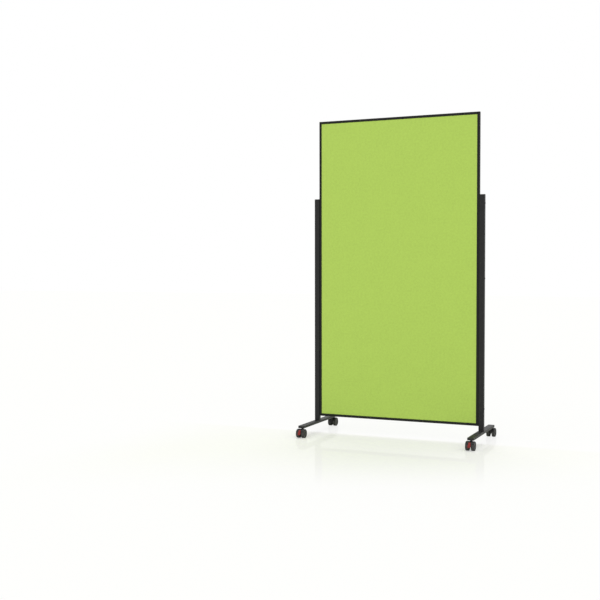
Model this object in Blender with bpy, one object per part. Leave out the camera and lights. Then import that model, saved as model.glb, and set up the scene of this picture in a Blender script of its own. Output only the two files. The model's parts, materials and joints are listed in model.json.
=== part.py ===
"""Mobile pinboard: a felt-faced board in a mitred channel frame, bolted between two
posts that stand on flat base bars, each bar on two twin-wheel casters.

Metres, +Z up, the front faces -Y and the floor is at zero. Every size is named below,
the driving ones first. What fits on another piece is worked out from that piece.
"""
import math

import bmesh
import bpy
from mathutils import Matrix, Vector

# Driving dimensions of the board and its stand
BOARD_WIDTH = 1.000
BOARD_HEIGHT = 1.800
FRAME_DEPTH = 0.018
FRAME_FACE = 0.015
POST_WIDTH = 0.030
POST_DEPTH = 0.024
POST_LENGTH = 1.356
BAR_LENGTH = 0.490
BAR_WIDTH = 0.038
BAR_THICKNESS = 0.014
BOARD_LIFT = 0.029

# Driving dimensions of a caster
WHEEL_RADIUS = 0.025
WHEEL_WIDTH = 0.0185
CASTER_WIDTH = 0.051
CASTER_TRAIL = 0.018
CASTER_HEADROOM = 0.0038

# Clearances that every fit shares
SEAT_GAP = 0.0003
RUNNING_GAP = 0.0005
CUT_OVERRUN = 0.002
MERGE_DISTANCE = 0.000001

# Channel of the frame
CHANNEL_WEB = 0.0014
CHANNEL_WALL = 0.0014
CHANNEL_CORNER = 0.0016
CHAMBER_DEPTH = 0.0038
CHAMBER_RIB = 0.0010
CHAMBER_RIB_REACH = 0.0025
FELT_THICKNESS = 0.0015
FELT_RISE = 0.0004
KEY_ARM = 0.045

# Posts, their caps and their feet
POST_WALL = 0.0015
POST_CORNER = 0.0025
CAP_FLANGE = 0.002
CAP_CHAMFER = 0.0006
CAP_SKIRT = 0.012
CAP_WALL = 0.0016
PLUG_HEIGHT = 0.028
PLUG_CORNER = 0.0012

# Base bar
BAR_CORNER = 0.004
BAR_EDGE = 0.001
STEM_INSET = 0.023

# Bolts through the posts into the board
BOLT_RADIUS = 0.003
BOLT_HEAD_RADIUS = 0.0055
BOLT_HEAD_HEIGHT = 0.0030
BOLT_HEAD_RIM = 0.0008
BOLT_BITE = 0.014
BOLT_SOCKET_RADIUS = 0.0021
BOLT_SOCKET_DEPTH = 0.0018
BOLT_LOW_RISE = 0.100
BOLT_TOP_DROP = 0.050
BOLT_MIDDLE_DROP = 0.480

# Countersunk screws through the bar into the post's foot
SCREW_RADIUS = 0.003
SCREW_HEAD_RADIUS = 0.0058
SCREW_HEAD_DEPTH = 0.0030
SCREW_RECESS = 0.0005
SCREW_BITE = 0.018
SCREW_PITCH = 0.015

# Tyre and wheel
TYRE_THICKNESS = 0.0028
TYRE_CROWN = 0.0004
TYRE_SHOULDER = 0.0024
WHEEL_SIDE_INSET = 0.0003
WHEEL_RIM = 0.0018
WHEEL_DISC = 0.0026
WHEEL_DISH = 0.0018
WHEEL_DISH_BAND = 0.0030
WHEEL_BOSS_RADIUS = 0.0062
WHEEL_CAP_RADIUS = 0.0070
WHEEL_CAP_RISE = 0.0012
WHEEL_CAP_SLOPE = 0.0014
WHEEL_RIB = 0.0014
WHEEL_RIB_SINK = 0.0005

# Axle and stem
AXLE_RADIUS = 0.003
STEM_RADIUS = 0.004
STEM_REACH = 0.029
STEM_TIP = 0.0010
THREAD_RADIUS = 0.005
THREAD_LENGTH = 0.0110
COLLAR_RADIUS = 0.0125
COLLAR_HEIGHT = 0.0032

# Hood of the caster
HOOD_GAP = 0.0012
HOOD_WALL = 0.0020
HOOD_EDGE_DROP = 0.0022
HOOD_EDGE_BAND = 0.0042
HOOD_CHAMFER = 0.0005
SOCKET_WALL = 0.0022
SOCKET_DROP = 0.003
SOCKET_CHAMFER = 0.0008
AXLE_BOSS_RADIUS = 0.0065
CHEEK_WALL = 0.0018

# Brake pedal
PIVOT_INSET = 0.0065
PIVOT_RADIUS = 0.0020
KNUCKLE_RADIUS = 0.0048
POCKET_INNER_GAP = 0.0035
TONGUE_TOP_GAP = 0.0060
TONGUE_END_GAP = 0.0092
TONGUE_THICKNESS = 0.0026
TONGUE_TOP_WIDTH = 0.0110
TONGUE_END_WIDTH = 0.0160
TONGUE_CHAMFER = 0.0006
LIP_REACH = 0.0030
SHOE_LAP = 0.0013
SHOE_INNER_LAP = 0.0028

# Angles, in degrees round the axle from the trailing side upward
HOOD_FRONT_ANGLE = 30
HOOD_BACK_ANGLE = 160
KEEL_FRONT_ANGLE = 22
BOSS_FRONT_ANGLE = -30
BOSS_BACK_ANGLE = -120
PIVOT_ANGLE = 50
POCKET_LOW_ANGLE = -12
POCKET_HIGH_ANGLE = 70
TONGUE_TOP_ANGLE = 48
TONGUE_END_ANGLE = -2
WEB_TOP_ANGLE = 45
WEB_LOW_ANGLE = 24
SHOE_LOW_ANGLE = -1
SHOE_HIGH_ANGLE = 10
PEDAL_TRAVEL = 15
SMOOTH_ANGLE = 32

# Counts of facets and copies
TYRE_FACETS = 24
WHEEL_FACETS = 16
SMALL_FACETS = 12
HEX_FACETS = 6
CORNER_STEPS = 3
SHOULDER_STEPS = 2
HOOD_STEPS = 8
KEEL_STEPS = 8
TONGUE_STEPS = 8
WHEEL_RIBS = 4

# Places worked out from the sizes above
HALF_FACET = 180 / SMALL_FACETS
AXLE_HEIGHT = WHEEL_RADIUS
HOOD_INNER = WHEEL_RADIUS + HOOD_GAP
HOOD_OUTER = HOOD_INNER + HOOD_WALL
BAR_BOTTOM = AXLE_HEIGHT + HOOD_OUTER + CASTER_HEADROOM
BAR_TOP = BAR_BOTTOM + BAR_THICKNESS
BOARD_BOTTOM = BAR_TOP + BOARD_LIFT
BOARD_TOP = BOARD_BOTTOM + BOARD_HEIGHT
POST_BOTTOM = BAR_TOP + SEAT_GAP
POST_TOP = POST_BOTTOM + POST_LENGTH
POST_X = BOARD_WIDTH / 2 + SEAT_GAP + POST_WIDTH / 2
STEM_Y = BAR_LENGTH / 2 - STEM_INSET
PANEL_INSET = CHANNEL_WEB + CHAMBER_DEPTH + CHAMBER_RIB + SEAT_GAP
PANEL_DEPTH = FRAME_DEPTH - 2 * CHANNEL_WALL - 2 * SEAT_GAP
CORE_THICKNESS = PANEL_DEPTH - 2 * FELT_THICKNESS - 2 * SEAT_GAP
PANEL_WIDTH = BOARD_WIDTH - 2 * PANEL_INSET
PANEL_HEIGHT = BOARD_HEIGHT - 2 * PANEL_INSET
WHEEL_SPACE = CASTER_WIDTH - 2 * WHEEL_WIDTH
WHEEL_X = (CASTER_WIDTH - WHEEL_WIDTH) / 2
KEEL_WIDTH = WHEEL_SPACE - 2 * RUNNING_GAP
POCKET_WIDTH = KEEL_WIDTH - 2 * CHEEK_WALL
SOCKET_RADIUS = STEM_RADIUS + SEAT_GAP + SOCKET_WALL
SOCKET_TOP = BAR_BOTTOM - 2 * SEAT_GAP - COLLAR_HEIGHT
HUB_RADIUS = WHEEL_RADIUS - TYRE_THICKNESS - SEAT_GAP
HUB_HALF = WHEEL_WIDTH / 2 - WHEEL_SIDE_INSET
PIVOT_RADIAL = WHEEL_RADIUS - PIVOT_INSET

# Colours as the photograph shows them, red, green and blue from 0 to 1
FELT_GREEN = (0.42, 0.60, 0.10)
CORE_BROWN = (0.30, 0.22, 0.13)
FRAME_BLACK = (0.025, 0.027, 0.024)
POST_GREY = (0.045, 0.045, 0.047)
BAR_GREY = (0.060, 0.060, 0.062)
PLASTIC_BLACK = (0.020, 0.020, 0.021)
TYRE_GREY = (0.038, 0.038, 0.040)
PEDAL_RED = (0.36, 0.06, 0.05)
BRIGHT_ZINC = (0.55, 0.55, 0.56)
BLACK_ZINC = (0.060, 0.060, 0.064)


def clear_scene():
    """Remove what a new file holds."""
    for thing in list(bpy.data.objects):
        bpy.data.objects.remove(thing, do_unlink=True)


def material(name, colour, roughness, metallic=0.0):
    """Make a plain Principled material."""
    made = bpy.data.materials.new(name)
    made.use_nodes = True
    shader = made.node_tree.nodes["Principled BSDF"]
    shader.inputs["Base Color"].default_value = (*colour, 1.0)
    shader.inputs["Roughness"].default_value = roughness
    shader.inputs["Metallic"].default_value = metallic
    return made


def empty(name, location=(0.0, 0.0, 0.0), turn=0.0, parent=None):
    """Add an empty that carries a sub-assembly, turned about Z in degrees."""
    made = bpy.data.objects.new(name, None)
    made.location = location
    made.rotation_euler = (0.0, 0.0, math.radians(turn))
    made.parent = parent
    bpy.context.collection.objects.link(made)
    return made


def node(name, mesh, finish, location=(0.0, 0.0, 0.0), rotation=(0.0, 0.0, 0.0), parent=None):
    """Add one named piece with its own material; rotation is in degrees."""
    made = bpy.data.objects.new(name, mesh)
    made.location = location
    made.rotation_euler = [math.radians(angle) for angle in rotation]
    made.parent = parent
    bpy.context.collection.objects.link(made)
    if not mesh.materials:
        mesh.materials.append(finish)
    return made


def finished(bm, name, smooth=False):
    """Turn a bmesh into a mesh with its faces pointing out."""
    bmesh.ops.remove_doubles(bm, verts=bm.verts, dist=MERGE_DISTANCE)
    bmesh.ops.recalc_face_normals(bm, faces=bm.faces)
    mesh = bpy.data.meshes.new(name)
    bm.to_mesh(mesh)
    bm.free()
    if smooth:
        rounded(mesh)
    return mesh


def rounded(mesh):
    """Shade a mesh smooth where its facets meet at a small angle."""
    mesh.shade_smooth()
    mesh.set_sharp_from_angle(angle=math.radians(SMOOTH_ANGLE))
    return mesh


def prism(name, outline, width):
    """Extrude an outline of (y, z) points across X, centred on x = 0."""
    bm = bmesh.new()
    face = bm.faces.new([bm.verts.new((-width / 2, y, z)) for y, z in outline])
    sides = bmesh.ops.extrude_face_region(bm, geom=[face])["geom"]
    moved = [item for item in sides if isinstance(item, bmesh.types.BMVert)]
    bmesh.ops.translate(bm, verts=moved, vec=(width, 0.0, 0.0))
    return finished(bm, name)


def column(name, levels):
    """Stack level outlines, given as (z, outline of (x, y) points), into one solid."""
    return loft(name, [[(x, y, z) for x, y in outline] for z, outline in levels])


def loft(name, rings):
    """Skin a row of equal rings of points and close both ends."""
    bm = bmesh.new()
    loops = [[bm.verts.new(point) for point in ring] for ring in rings]
    count = len(loops[0])
    for lower, upper in zip(loops, loops[1:]):
        for i in range(count):
            j = (i + 1) % count
            bm.faces.new((lower[i], lower[j], upper[j], upper[i]))
    bm.faces.new(loops[0])
    bm.faces.new(loops[-1])
    return finished(bm, name)


def revolved(name, profile, facets, closed=False):
    """Spin (x, radius) points round the X axis; a closed profile makes a ring."""
    bm = bmesh.new()
    verts = [bm.verts.new((x, 0.0, radius)) for x, radius in profile]
    edges = [bm.edges.new(pair) for pair in zip(verts, verts[1:])]
    if closed:
        edges.append(bm.edges.new((verts[-1], verts[0])))
    bmesh.ops.spin(bm, geom=verts + edges, cent=(0.0, 0.0, 0.0), axis=(1.0, 0.0, 0.0),
                   angle=math.tau, steps=facets, use_merge=True)
    return finished(bm, name, smooth=True)


def placed(mesh, location=(0.0, 0.0, 0.0), rotation=(0.0, 0.0, 0.0)):
    """Turn a mesh by degrees about X, Y and Z, then move it."""
    turn = Matrix.Identity(4)
    for angle, axis in zip(rotation, "XYZ"):
        turn = Matrix.Rotation(math.radians(angle), 4, axis) @ turn
    mesh.transform(Matrix.Translation(location) @ turn)
    return mesh


def combined(mesh, tool, operation):
    """Cut or join two meshes with the exact solver, and drop the originals."""
    base = bpy.data.objects.new("base", mesh)
    other = bpy.data.objects.new("tool", tool)
    for thing in (base, other):
        bpy.context.collection.objects.link(thing)
    modifier = base.modifiers.new("exact", "BOOLEAN")
    modifier.object = other
    modifier.operation = operation
    modifier.solver = "EXACT"
    view = bpy.context.evaluated_depsgraph_get()
    result = bpy.data.meshes.new_from_object(base.evaluated_get(view))
    name = mesh.name
    for thing in (base, other):
        bpy.data.objects.remove(thing, do_unlink=True)
    for old in (mesh, tool):
        bpy.data.meshes.remove(old)
    result.name = name
    result.materials.clear()
    return result


def cut(mesh, tool):
    """Take the tool's solid out of the mesh."""
    return combined(mesh, tool, "DIFFERENCE")


def joined(mesh, tool):
    """Fuse the tool's solid with the mesh."""
    return combined(mesh, tool, "UNION")


def arc(centre, radius, start, end, steps):
    """List points on an arc, angles in degrees, both ends included."""
    points = []
    for step in range(steps + 1):
        angle = math.radians(start + (end - start) * step / steps)
        points.append((centre[0] + radius * math.cos(angle), centre[1] + radius * math.sin(angle)))
    return points


def rounded_outline(width, depth, radius, steps=CORNER_STEPS):
    """Outline a rectangle with round corners, centred on the origin."""
    across, along = width / 2 - radius, depth / 2 - radius
    corners = ((across, along, 0), (-across, along, 90), (-across, -along, 180), (across, -along, 270))
    points = []
    for x, y, start in corners:
        points += arc((x, y), radius, start, start + 90, steps)
    return points


def pin(name, radius, start, end, facets=SMALL_FACETS):
    """Make a plain cylinder along X."""
    profile = ((start, 0.0), (start, radius), (end, radius), (end, 0.0))
    return revolved(name, profile, facets)


# Board

def channel_profile():
    """Outline the frame's channel as (inset from the outer edge, depth) points."""
    half, corner = FRAME_DEPTH / 2, CHANNEL_CORNER
    rib_start = CHANNEL_WEB + CHAMBER_DEPTH
    rib_end = rib_start + CHAMBER_RIB
    inner = half - CHANNEL_WALL
    rib_tip = inner - CHAMBER_RIB_REACH
    front = [(FRAME_FACE, -half)]
    front += [(x, y) for x, y in arc((corner, corner - half), corner, 270, 180, CORNER_STEPS)]
    back = [(x, -y) for x, y in reversed(front)]
    inside = [(FRAME_FACE, inner), (rib_end, inner), (rib_end, rib_tip), (rib_start, rib_tip),
              (rib_start, inner), (CHANNEL_WEB, inner)]
    inside += [(x, -y) for x, y in reversed(inside)]
    return front + back + inside


def rail_mesh(name, length):
    """Extrude the channel along X and mitre both ends, its outer edge on z = 0."""
    rings = []
    for side in (-1, 1):
        ring = []
        for inset, depth in channel_profile():
            reach = length / 2 - inset - SEAT_GAP / 2
            ring.append((side * reach, depth, inset))
        rings.append(ring)
    return loft(name, rings)


def upright_mesh():
    """Make a side rail with a hole in its web for each bolt, its length along X."""
    mesh = rail_mesh("rail_upright", BOARD_HEIGHT)
    middle = (BOARD_BOTTOM + BOARD_TOP) / 2
    for height in bolt_heights():
        hole = pin("hole", BOLT_RADIUS + SEAT_GAP, -CUT_OVERRUN, CHANNEL_WEB + CHAMBER_DEPTH / 2)
        mesh = cut(mesh, placed(hole, (height - middle, 0.0, 0.0), (HALF_FACET, -90.0, 0.0)))
    return mesh


def corner_key_mesh():
    """Make the angle that joins two rails inside their chambers, from the corner on."""
    near = CHANNEL_WEB + SEAT_GAP
    far = CHANNEL_WEB + CHAMBER_DEPTH - SEAT_GAP
    outline = ((near, near), (KEY_ARM, near), (KEY_ARM, far), (far, far), (far, KEY_ARM), (near, KEY_ARM))
    width = FRAME_DEPTH - 2 * CHANNEL_WALL - 2 * SEAT_GAP
    mesh = prism("corner_key", outline, width)
    return placed(mesh, rotation=(0.0, 0.0, -90.0))


def bolt_heights():
    """List the heights of the three bolts of a side."""
    top = POST_TOP + CAP_FLANGE
    return (BOARD_BOTTOM + BOLT_LOW_RISE, top - BOLT_MIDDLE_DROP, top - BOLT_TOP_DROP)


def core_mesh():
    """Make the core board with a bore in its edge for each bolt."""
    mesh = slab_mesh("core", CORE_THICKNESS)
    middle = (BOARD_BOTTOM + BOARD_TOP) / 2
    reach = BOLT_BITE + SEAT_GAP
    for side in (-1, 1):
        for height in bolt_heights():
            bore = pin("bore", BOLT_RADIUS + SEAT_GAP, -reach, CUT_OVERRUN)
            edge = (side * PANEL_WIDTH / 2, 0.0, height - middle)
            mesh = cut(mesh, placed(bore, edge, (0.0, 0.0, 0.0 if side > 0 else 180.0)))
    return mesh


def slab_mesh(name, thickness):
    """Make a flat panel that fits the frame's channel, centred on the origin."""
    half = PANEL_HEIGHT / 2
    outline = ((-thickness / 2, -half), (thickness / 2, -half), (thickness / 2, half), (-thickness / 2, half))
    return prism(name, outline, PANEL_WIDTH)


def felt_mesh():
    """Make a felt face from y = 0 towards -Y; between the frame's lips it stands proud."""
    hidden = (PANEL_WIDTH / 2, PANEL_HEIGHT / 2)
    free = (BOARD_WIDTH / 2 - FRAME_FACE - SEAT_GAP, BOARD_HEIGHT / 2 - FRAME_FACE - SEAT_GAP)
    rings = []
    for depth, (x, z) in ((0.0, hidden), (FELT_THICKNESS, hidden), (FELT_THICKNESS, free),
                          (FELT_THICKNESS + FELT_RISE, free)):
        rings.append([(-x, -depth, -z), (x, -depth, -z), (x, -depth, z), (-x, -depth, z)])
    return loft("felt", rings)


def build_board():
    """Build the frame, its corner keys, the core and the two felt faces."""
    centre = (0.0, 0.0, (BOARD_BOTTOM + BOARD_TOP) / 2)
    board = empty("board", centre)
    half_width, half_height = BOARD_WIDTH / 2, BOARD_HEIGHT / 2
    black = material("frame_black", FRAME_BLACK, 0.45, 0.6)
    across = rail_mesh("rail_across", BOARD_WIDTH)
    upright = upright_mesh()
    node("frame_rail_bottom", across, black, (0.0, 0.0, -half_height), parent=board)
    node("frame_rail_top", across, black, (0.0, 0.0, half_height), (0.0, 180.0, 0.0), board)
    node("frame_rail_left", upright, black, (-half_width, 0.0, 0.0), (0.0, -90.0, 180.0), board)
    node("frame_rail_right", upright, black, (half_width, 0.0, 0.0), (0.0, -90.0, 0.0), board)
    key = corner_key_mesh()
    grey = material("key_zinc", BRIGHT_ZINC, 0.5, 0.9)
    corners = (("bottom_left", -1, -1, 0.0), ("bottom_right", 1, -1, -90.0),
               ("top_right", 1, 1, 180.0), ("top_left", -1, 1, 90.0))
    for name, x, z, turn in corners:
        place = (x * half_width, 0.0, z * half_height)
        node("corner_key_" + name, key, grey, place, (0.0, turn, 0.0), board)
    node("board_core", core_mesh(), material("core_board", CORE_BROWN, 0.9), parent=board)
    felt = material("felt_green", FELT_GREEN, 0.95)
    face = felt_mesh()
    offset = CORE_THICKNESS / 2 + SEAT_GAP
    node("felt_front", face, felt, (0.0, -offset, 0.0), parent=board)
    node("felt_back", face, felt, (0.0, offset, 0.0), (0.0, 0.0, 180.0), board)


# Stand

def post_mesh():
    """Make a post: a rectangular tube from z = 0 with a cross hole for each bolt."""
    outer = rounded_outline(POST_WIDTH, POST_DEPTH, POST_CORNER)
    mesh = column("post", ((0.0, outer), (POST_LENGTH, outer)))
    inner = rounded_outline(POST_WIDTH - 2 * POST_WALL, POST_DEPTH - 2 * POST_WALL,
                            POST_CORNER - POST_WALL)
    bore = column("bore", ((-CUT_OVERRUN, inner), (POST_LENGTH + CUT_OVERRUN, inner)))
    mesh = cut(mesh, bore)
    reach = POST_WIDTH / 2 + CUT_OVERRUN
    for height in bolt_heights():
        hole = pin("hole", BOLT_RADIUS + SEAT_GAP, -reach, reach)
        mesh = cut(mesh, placed(hole, (0.0, 0.0, height - POST_BOTTOM), (HALF_FACET, 0.0, 0.0)))
    return mesh


def inside_post(clearance):
    """Give the width and depth of what slides into a post."""
    return POST_WIDTH - 2 * (POST_WALL + clearance), POST_DEPTH - 2 * (POST_WALL + clearance)


def cap_mesh():
    """Make a post's cap: a flat flange from z = 0 over a hollow skirt."""
    outer = rounded_outline(POST_WIDTH, POST_DEPTH, POST_CORNER)
    small = rounded_outline(POST_WIDTH - 2 * CAP_CHAMFER, POST_DEPTH - 2 * CAP_CHAMFER,
                            POST_CORNER - CAP_CHAMFER)
    levels = ((0.0, outer), (CAP_FLANGE - CAP_CHAMFER, outer), (CAP_FLANGE, small))
    mesh = column("cap", levels)
    width, depth = inside_post(SEAT_GAP)
    skirt = rounded_outline(width, depth, PLUG_CORNER)
    mesh = joined(mesh, column("skirt", ((-CAP_SKIRT, skirt), (CAP_FLANGE / 2, skirt))))
    hollow = rounded_outline(width - 2 * CAP_WALL, depth - 2 * CAP_WALL, PLUG_CORNER, 1)
    return cut(mesh, column("hollow", ((-CAP_SKIRT - CUT_OVERRUN, hollow), (-SEAT_GAP, hollow))))


def plug_mesh():
    """Make the foot block inside a post, with a bore for each screw."""
    width, depth = inside_post(SEAT_GAP)
    outline = rounded_outline(width, depth, PLUG_CORNER)
    mesh = column("plug", ((0.0, outline), (PLUG_HEIGHT, outline)))
    for side in (-1, 1):
        bore = pin("bore", SCREW_RADIUS + SEAT_GAP, -CUT_OVERRUN, PLUG_HEIGHT + CUT_OVERRUN)
        mesh = cut(mesh, placed(bore, (side * SCREW_PITCH / 2, 0.0, 0.0), (0.0, -90.0, 0.0)))
    return mesh


def screw_profile(clearance):
    """List a countersunk screw's points from its head along X, grown by a clearance."""
    head = SCREW_HEAD_RADIUS + clearance
    shank = SCREW_RADIUS + clearance
    rim = SCREW_RECESS
    return (rim, head), (rim + SCREW_HEAD_DEPTH, shank)


def screw_mesh():
    """Make a screw that points up from the bar's underside at z = 0."""
    rim, neck = screw_profile(0.0)
    end = BAR_THICKNESS + SEAT_GAP + SCREW_BITE
    profile = ((rim[0], 0.0), rim, neck, (end, SCREW_RADIUS), (end, 0.0))
    mesh = revolved("screw", profile, SMALL_FACETS)
    recess = pin("recess", BOLT_SOCKET_RADIUS, -CUT_OVERRUN, SCREW_RECESS + BOLT_SOCKET_DEPTH, HEX_FACETS)
    return rounded(placed(cut(mesh, recess), rotation=(0.0, -90.0, 0.0)))


def bar_mesh():
    """Make a base bar from z = 0, with screw holes and blind holes for the stems."""
    full = rounded_outline(BAR_WIDTH, BAR_LENGTH, BAR_CORNER)
    small = rounded_outline(BAR_WIDTH - 2 * BAR_EDGE, BAR_LENGTH - 2 * BAR_EDGE, BAR_CORNER - BAR_EDGE)
    levels = ((0.0, small), (BAR_EDGE, full), (BAR_THICKNESS - BAR_EDGE, full), (BAR_THICKNESS, small))
    mesh = column("bar", levels)
    for side in (-1, 1):
        rim, neck = screw_profile(SEAT_GAP)
        top = BAR_THICKNESS + CUT_OVERRUN
        profile = ((-CUT_OVERRUN, 0.0), (-CUT_OVERRUN, rim[1]), rim, neck, (top, neck[1]), (top, 0.0))
        hole = revolved("hole", profile, SMALL_FACETS)
        mesh = cut(mesh, placed(hole, (side * SCREW_PITCH / 2, 0.0, 0.0), (0.0, -90.0, 0.0)))
        depth = THREAD_LENGTH + SEAT_GAP
        blind = pin("blind", THREAD_RADIUS + SEAT_GAP, -CUT_OVERRUN, depth)
        mesh = cut(mesh, placed(blind, (0.0, side * STEM_Y, 0.0), (0.0, -90.0, 0.0)))
    return mesh


def bolt_mesh():
    """Make a button-head bolt along X: its head outside x = 0, its shank inside."""
    length = POST_WIDTH + 2 * SEAT_GAP + PANEL_INSET + BOLT_BITE
    shoulder = BOLT_HEAD_RADIUS - (BOLT_HEAD_HEIGHT - BOLT_HEAD_RIM)
    profile = ((-length, 0.0), (-length, BOLT_RADIUS), (0.0, BOLT_RADIUS), (0.0, BOLT_HEAD_RADIUS),
               (BOLT_HEAD_RIM, BOLT_HEAD_RADIUS), (BOLT_HEAD_HEIGHT, shoulder), (BOLT_HEAD_HEIGHT, 0.0))
    mesh = revolved("bolt", profile, SMALL_FACETS)
    start = BOLT_HEAD_HEIGHT - BOLT_SOCKET_DEPTH
    socket = pin("socket", BOLT_SOCKET_RADIUS, start, BOLT_HEAD_HEIGHT + CUT_OVERRUN, HEX_FACETS)
    return rounded(cut(mesh, socket))


def build_stand():
    """Build the posts with their caps, feet, bars, screws and the board's bolts."""
    powder = material("post_powder_coat", POST_GREY, 0.55, 0.3)
    steel = material("bar_powder_coat", BAR_GREY, 0.5, 0.3)
    plastic = material("cap_plastic", PLASTIC_BLACK, 0.5)
    zinc = material("fastener_black_zinc", POST_GREY, 0.4, 0.8)
    post, cap, plug, bar = post_mesh(), cap_mesh(), plug_mesh(), bar_mesh()
    bolt, screw = bolt_mesh(), screw_mesh()
    for side, x in (("left", -POST_X), ("right", POST_X)):
        node("post_" + side, post, powder, (x, 0.0, POST_BOTTOM))
        node("post_cap_" + side, cap, plastic, (x, 0.0, POST_TOP + SEAT_GAP))
        node("post_foot_" + side, plug, zinc, (x, 0.0, POST_BOTTOM))
        node("base_bar_" + side, bar, steel, (x, 0.0, BAR_BOTTOM))
        for number, shift in ((1, -SCREW_PITCH / 2), (2, SCREW_PITCH / 2)):
            node(f"foot_screw_{side}_{number}", screw, zinc, (x + shift, 0.0, BAR_BOTTOM))
        outward = math.copysign(POST_WIDTH / 2 + SEAT_GAP, x)
        turn = 0.0 if x > 0 else 180.0
        for level, height in zip(("low", "middle", "top"), bolt_heights()):
            node(f"board_bolt_{side}_{level}", bolt, zinc, (x + outward, 0.0, height), (0.0, 0.0, turn))


# Casters; an upright plane through the axle has (outward, up) points from the axle's centre

def polar(radius, angle):
    """Give the (outward, up) point at a radius and an angle in degrees round the axle."""
    return radius * math.cos(math.radians(angle)), radius * math.sin(math.radians(angle))


def caster_plane(points):
    """Turn (outward, up) points round the axle into (y, z) points round the swivel."""
    return [(-CASTER_TRAIL - out, AXLE_HEIGHT + up) for out, up in points]


def tyre_mesh():
    """Turn the tyre round X: a crowned tread with round shoulders."""
    half = WHEEL_WIDTH / 2
    inner = WHEEL_RADIUS - TYRE_THICKNESS
    edge = WHEEL_RADIUS - TYRE_CROWN - TYRE_SHOULDER
    right = arc((half - TYRE_SHOULDER, edge), TYRE_SHOULDER, 0, 90, SHOULDER_STEPS)
    left = [(-x, radius) for x, radius in reversed(right)]
    profile = [(half, inner), *right, (0.0, WHEEL_RADIUS), *left, (-half, inner)]
    return revolved("tyre", profile, TYRE_FACETS, closed=True)


def wheel_mesh():
    """Turn the wheel round X: closed and dished outside, ribbed and open inside."""
    half, bore = HUB_HALF, AXLE_RADIUS + SEAT_GAP
    face = half - WHEEL_DISH
    back = face - WHEEL_DISC
    rim_inner = HUB_RADIUS - WHEEL_RIM
    profile = [(face + WHEEL_CAP_RISE, 0.0), (face + WHEEL_CAP_RISE, WHEEL_CAP_RADIUS - WHEEL_CAP_SLOPE),
               (face, WHEEL_CAP_RADIUS), (face, rim_inner - WHEEL_DISH_BAND), (half, rim_inner),
               (half, HUB_RADIUS), (-half, HUB_RADIUS), (-half, rim_inner), (back, rim_inner),
               (back, WHEEL_BOSS_RADIUS), (-half, WHEEL_BOSS_RADIUS), (-half, bore),
               (back, bore), (back, 0.0)]
    mesh = revolved("wheel", profile, WHEEL_FACETS)
    depth = half + back - WHEEL_RIB + WHEEL_RIB_SINK
    start, end = WHEEL_BOSS_RADIUS - WHEEL_RIB_SINK, rim_inner + WHEEL_RIB_SINK
    outline = ((-WHEEL_RIB / 2, start), (WHEEL_RIB / 2, start), (WHEEL_RIB / 2, end), (-WHEEL_RIB / 2, end))
    for number in range(WHEEL_RIBS):
        rib = placed(prism("rib", outline, depth), (back + WHEEL_RIB_SINK - depth / 2, 0.0, 0.0))
        turn = 360 * (number + 1 / 2) / WHEEL_RIBS
        mesh = joined(mesh, placed(rib, rotation=(turn, 0.0, 0.0)))
    return rounded(mesh)


def axle_mesh():
    """Make the axle pin that runs from wheel to wheel through the hood's boss."""
    reach = WHEEL_X + HUB_HALF - WHEEL_DISH - WHEEL_DISC - SEAT_GAP
    return pin("axle", AXLE_RADIUS, -reach, reach)


def stem_mesh():
    """Make a caster's stem: grip pin, hex collar and thread, with z = 0 at the bar."""
    low = -SEAT_GAP - COLLAR_HEIGHT
    end = low - STEM_REACH
    profile = ((end, 0.0), (end, STEM_RADIUS - STEM_TIP), (end + STEM_TIP, STEM_RADIUS),
               (low / 2, STEM_RADIUS), (low / 2, THREAD_RADIUS), (THREAD_LENGTH, THREAD_RADIUS),
               (THREAD_LENGTH, 0.0))
    mesh = revolved("stem", profile, SMALL_FACETS)
    mesh = joined(mesh, pin("collar", COLLAR_RADIUS, low, -SEAT_GAP, HEX_FACETS))
    return rounded(placed(mesh, rotation=(0.0, -90.0, 0.0)))


def hood_section():
    """Outline the hood's roof across X: thin, and drawn down at both edges."""
    half = CASTER_WIDTH / 2
    shoulder = half - HOOD_EDGE_BAND
    drop, bevel = HOOD_EDGE_DROP, HOOD_CHAMFER
    top = [(-half, -drop), (bevel - half, bevel - drop), (-shoulder, 0.0), (shoulder, 0.0),
           (half - bevel, bevel - drop), (half, -drop)]
    under = [(half, -drop - HOOD_WALL + bevel), (half - bevel, -drop - HOOD_WALL),
             (shoulder, -HOOD_WALL), (-shoulder, -HOOD_WALL),
             (bevel - half, -drop - HOOD_WALL), (-half, -drop - HOOD_WALL + bevel)]
    return top + under


def roof_mesh():
    """Sweep the hood's section over the wheels."""
    rings = []
    for step in range(HOOD_STEPS + 1):
        angle = HOOD_FRONT_ANGLE + (HOOD_BACK_ANGLE - HOOD_FRONT_ANGLE) * step / HOOD_STEPS
        ring = []
        for x, rise in hood_section():
            (y, z), = caster_plane([polar(HOOD_OUTER + rise, angle)])
            ring.append((x, y, z))
        rings.append(ring)
    return loft("hood", rings)


def keel_outline():
    """Outline the hood's middle: stem socket, axle boss and the cheeks by the pedal."""
    middle = HOOD_OUTER - HOOD_WALL / 2
    low = -SOCKET_DROP
    back = -CASTER_TRAIL - SOCKET_RADIUS / 2
    back_angle = math.degrees(math.acos(back / middle))
    points = arc((0.0, 0.0), middle, back_angle, KEEL_FRONT_ANGLE, KEEL_STEPS)
    points += arc((0.0, 0.0), AXLE_BOSS_RADIUS, BOSS_FRONT_ANGLE, BOSS_BACK_ANGLE, CORNER_STEPS)
    points += [(SOCKET_RADIUS / 2 - CASTER_TRAIL, low), (back, low)]
    return points


def sector(inner, outer, low, high, steps):
    """Outline a band round the axle between two radii and two angles."""
    return arc((0.0, 0.0), outer, low, high, steps) + arc((0.0, 0.0), inner, high, low, steps)


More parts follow.
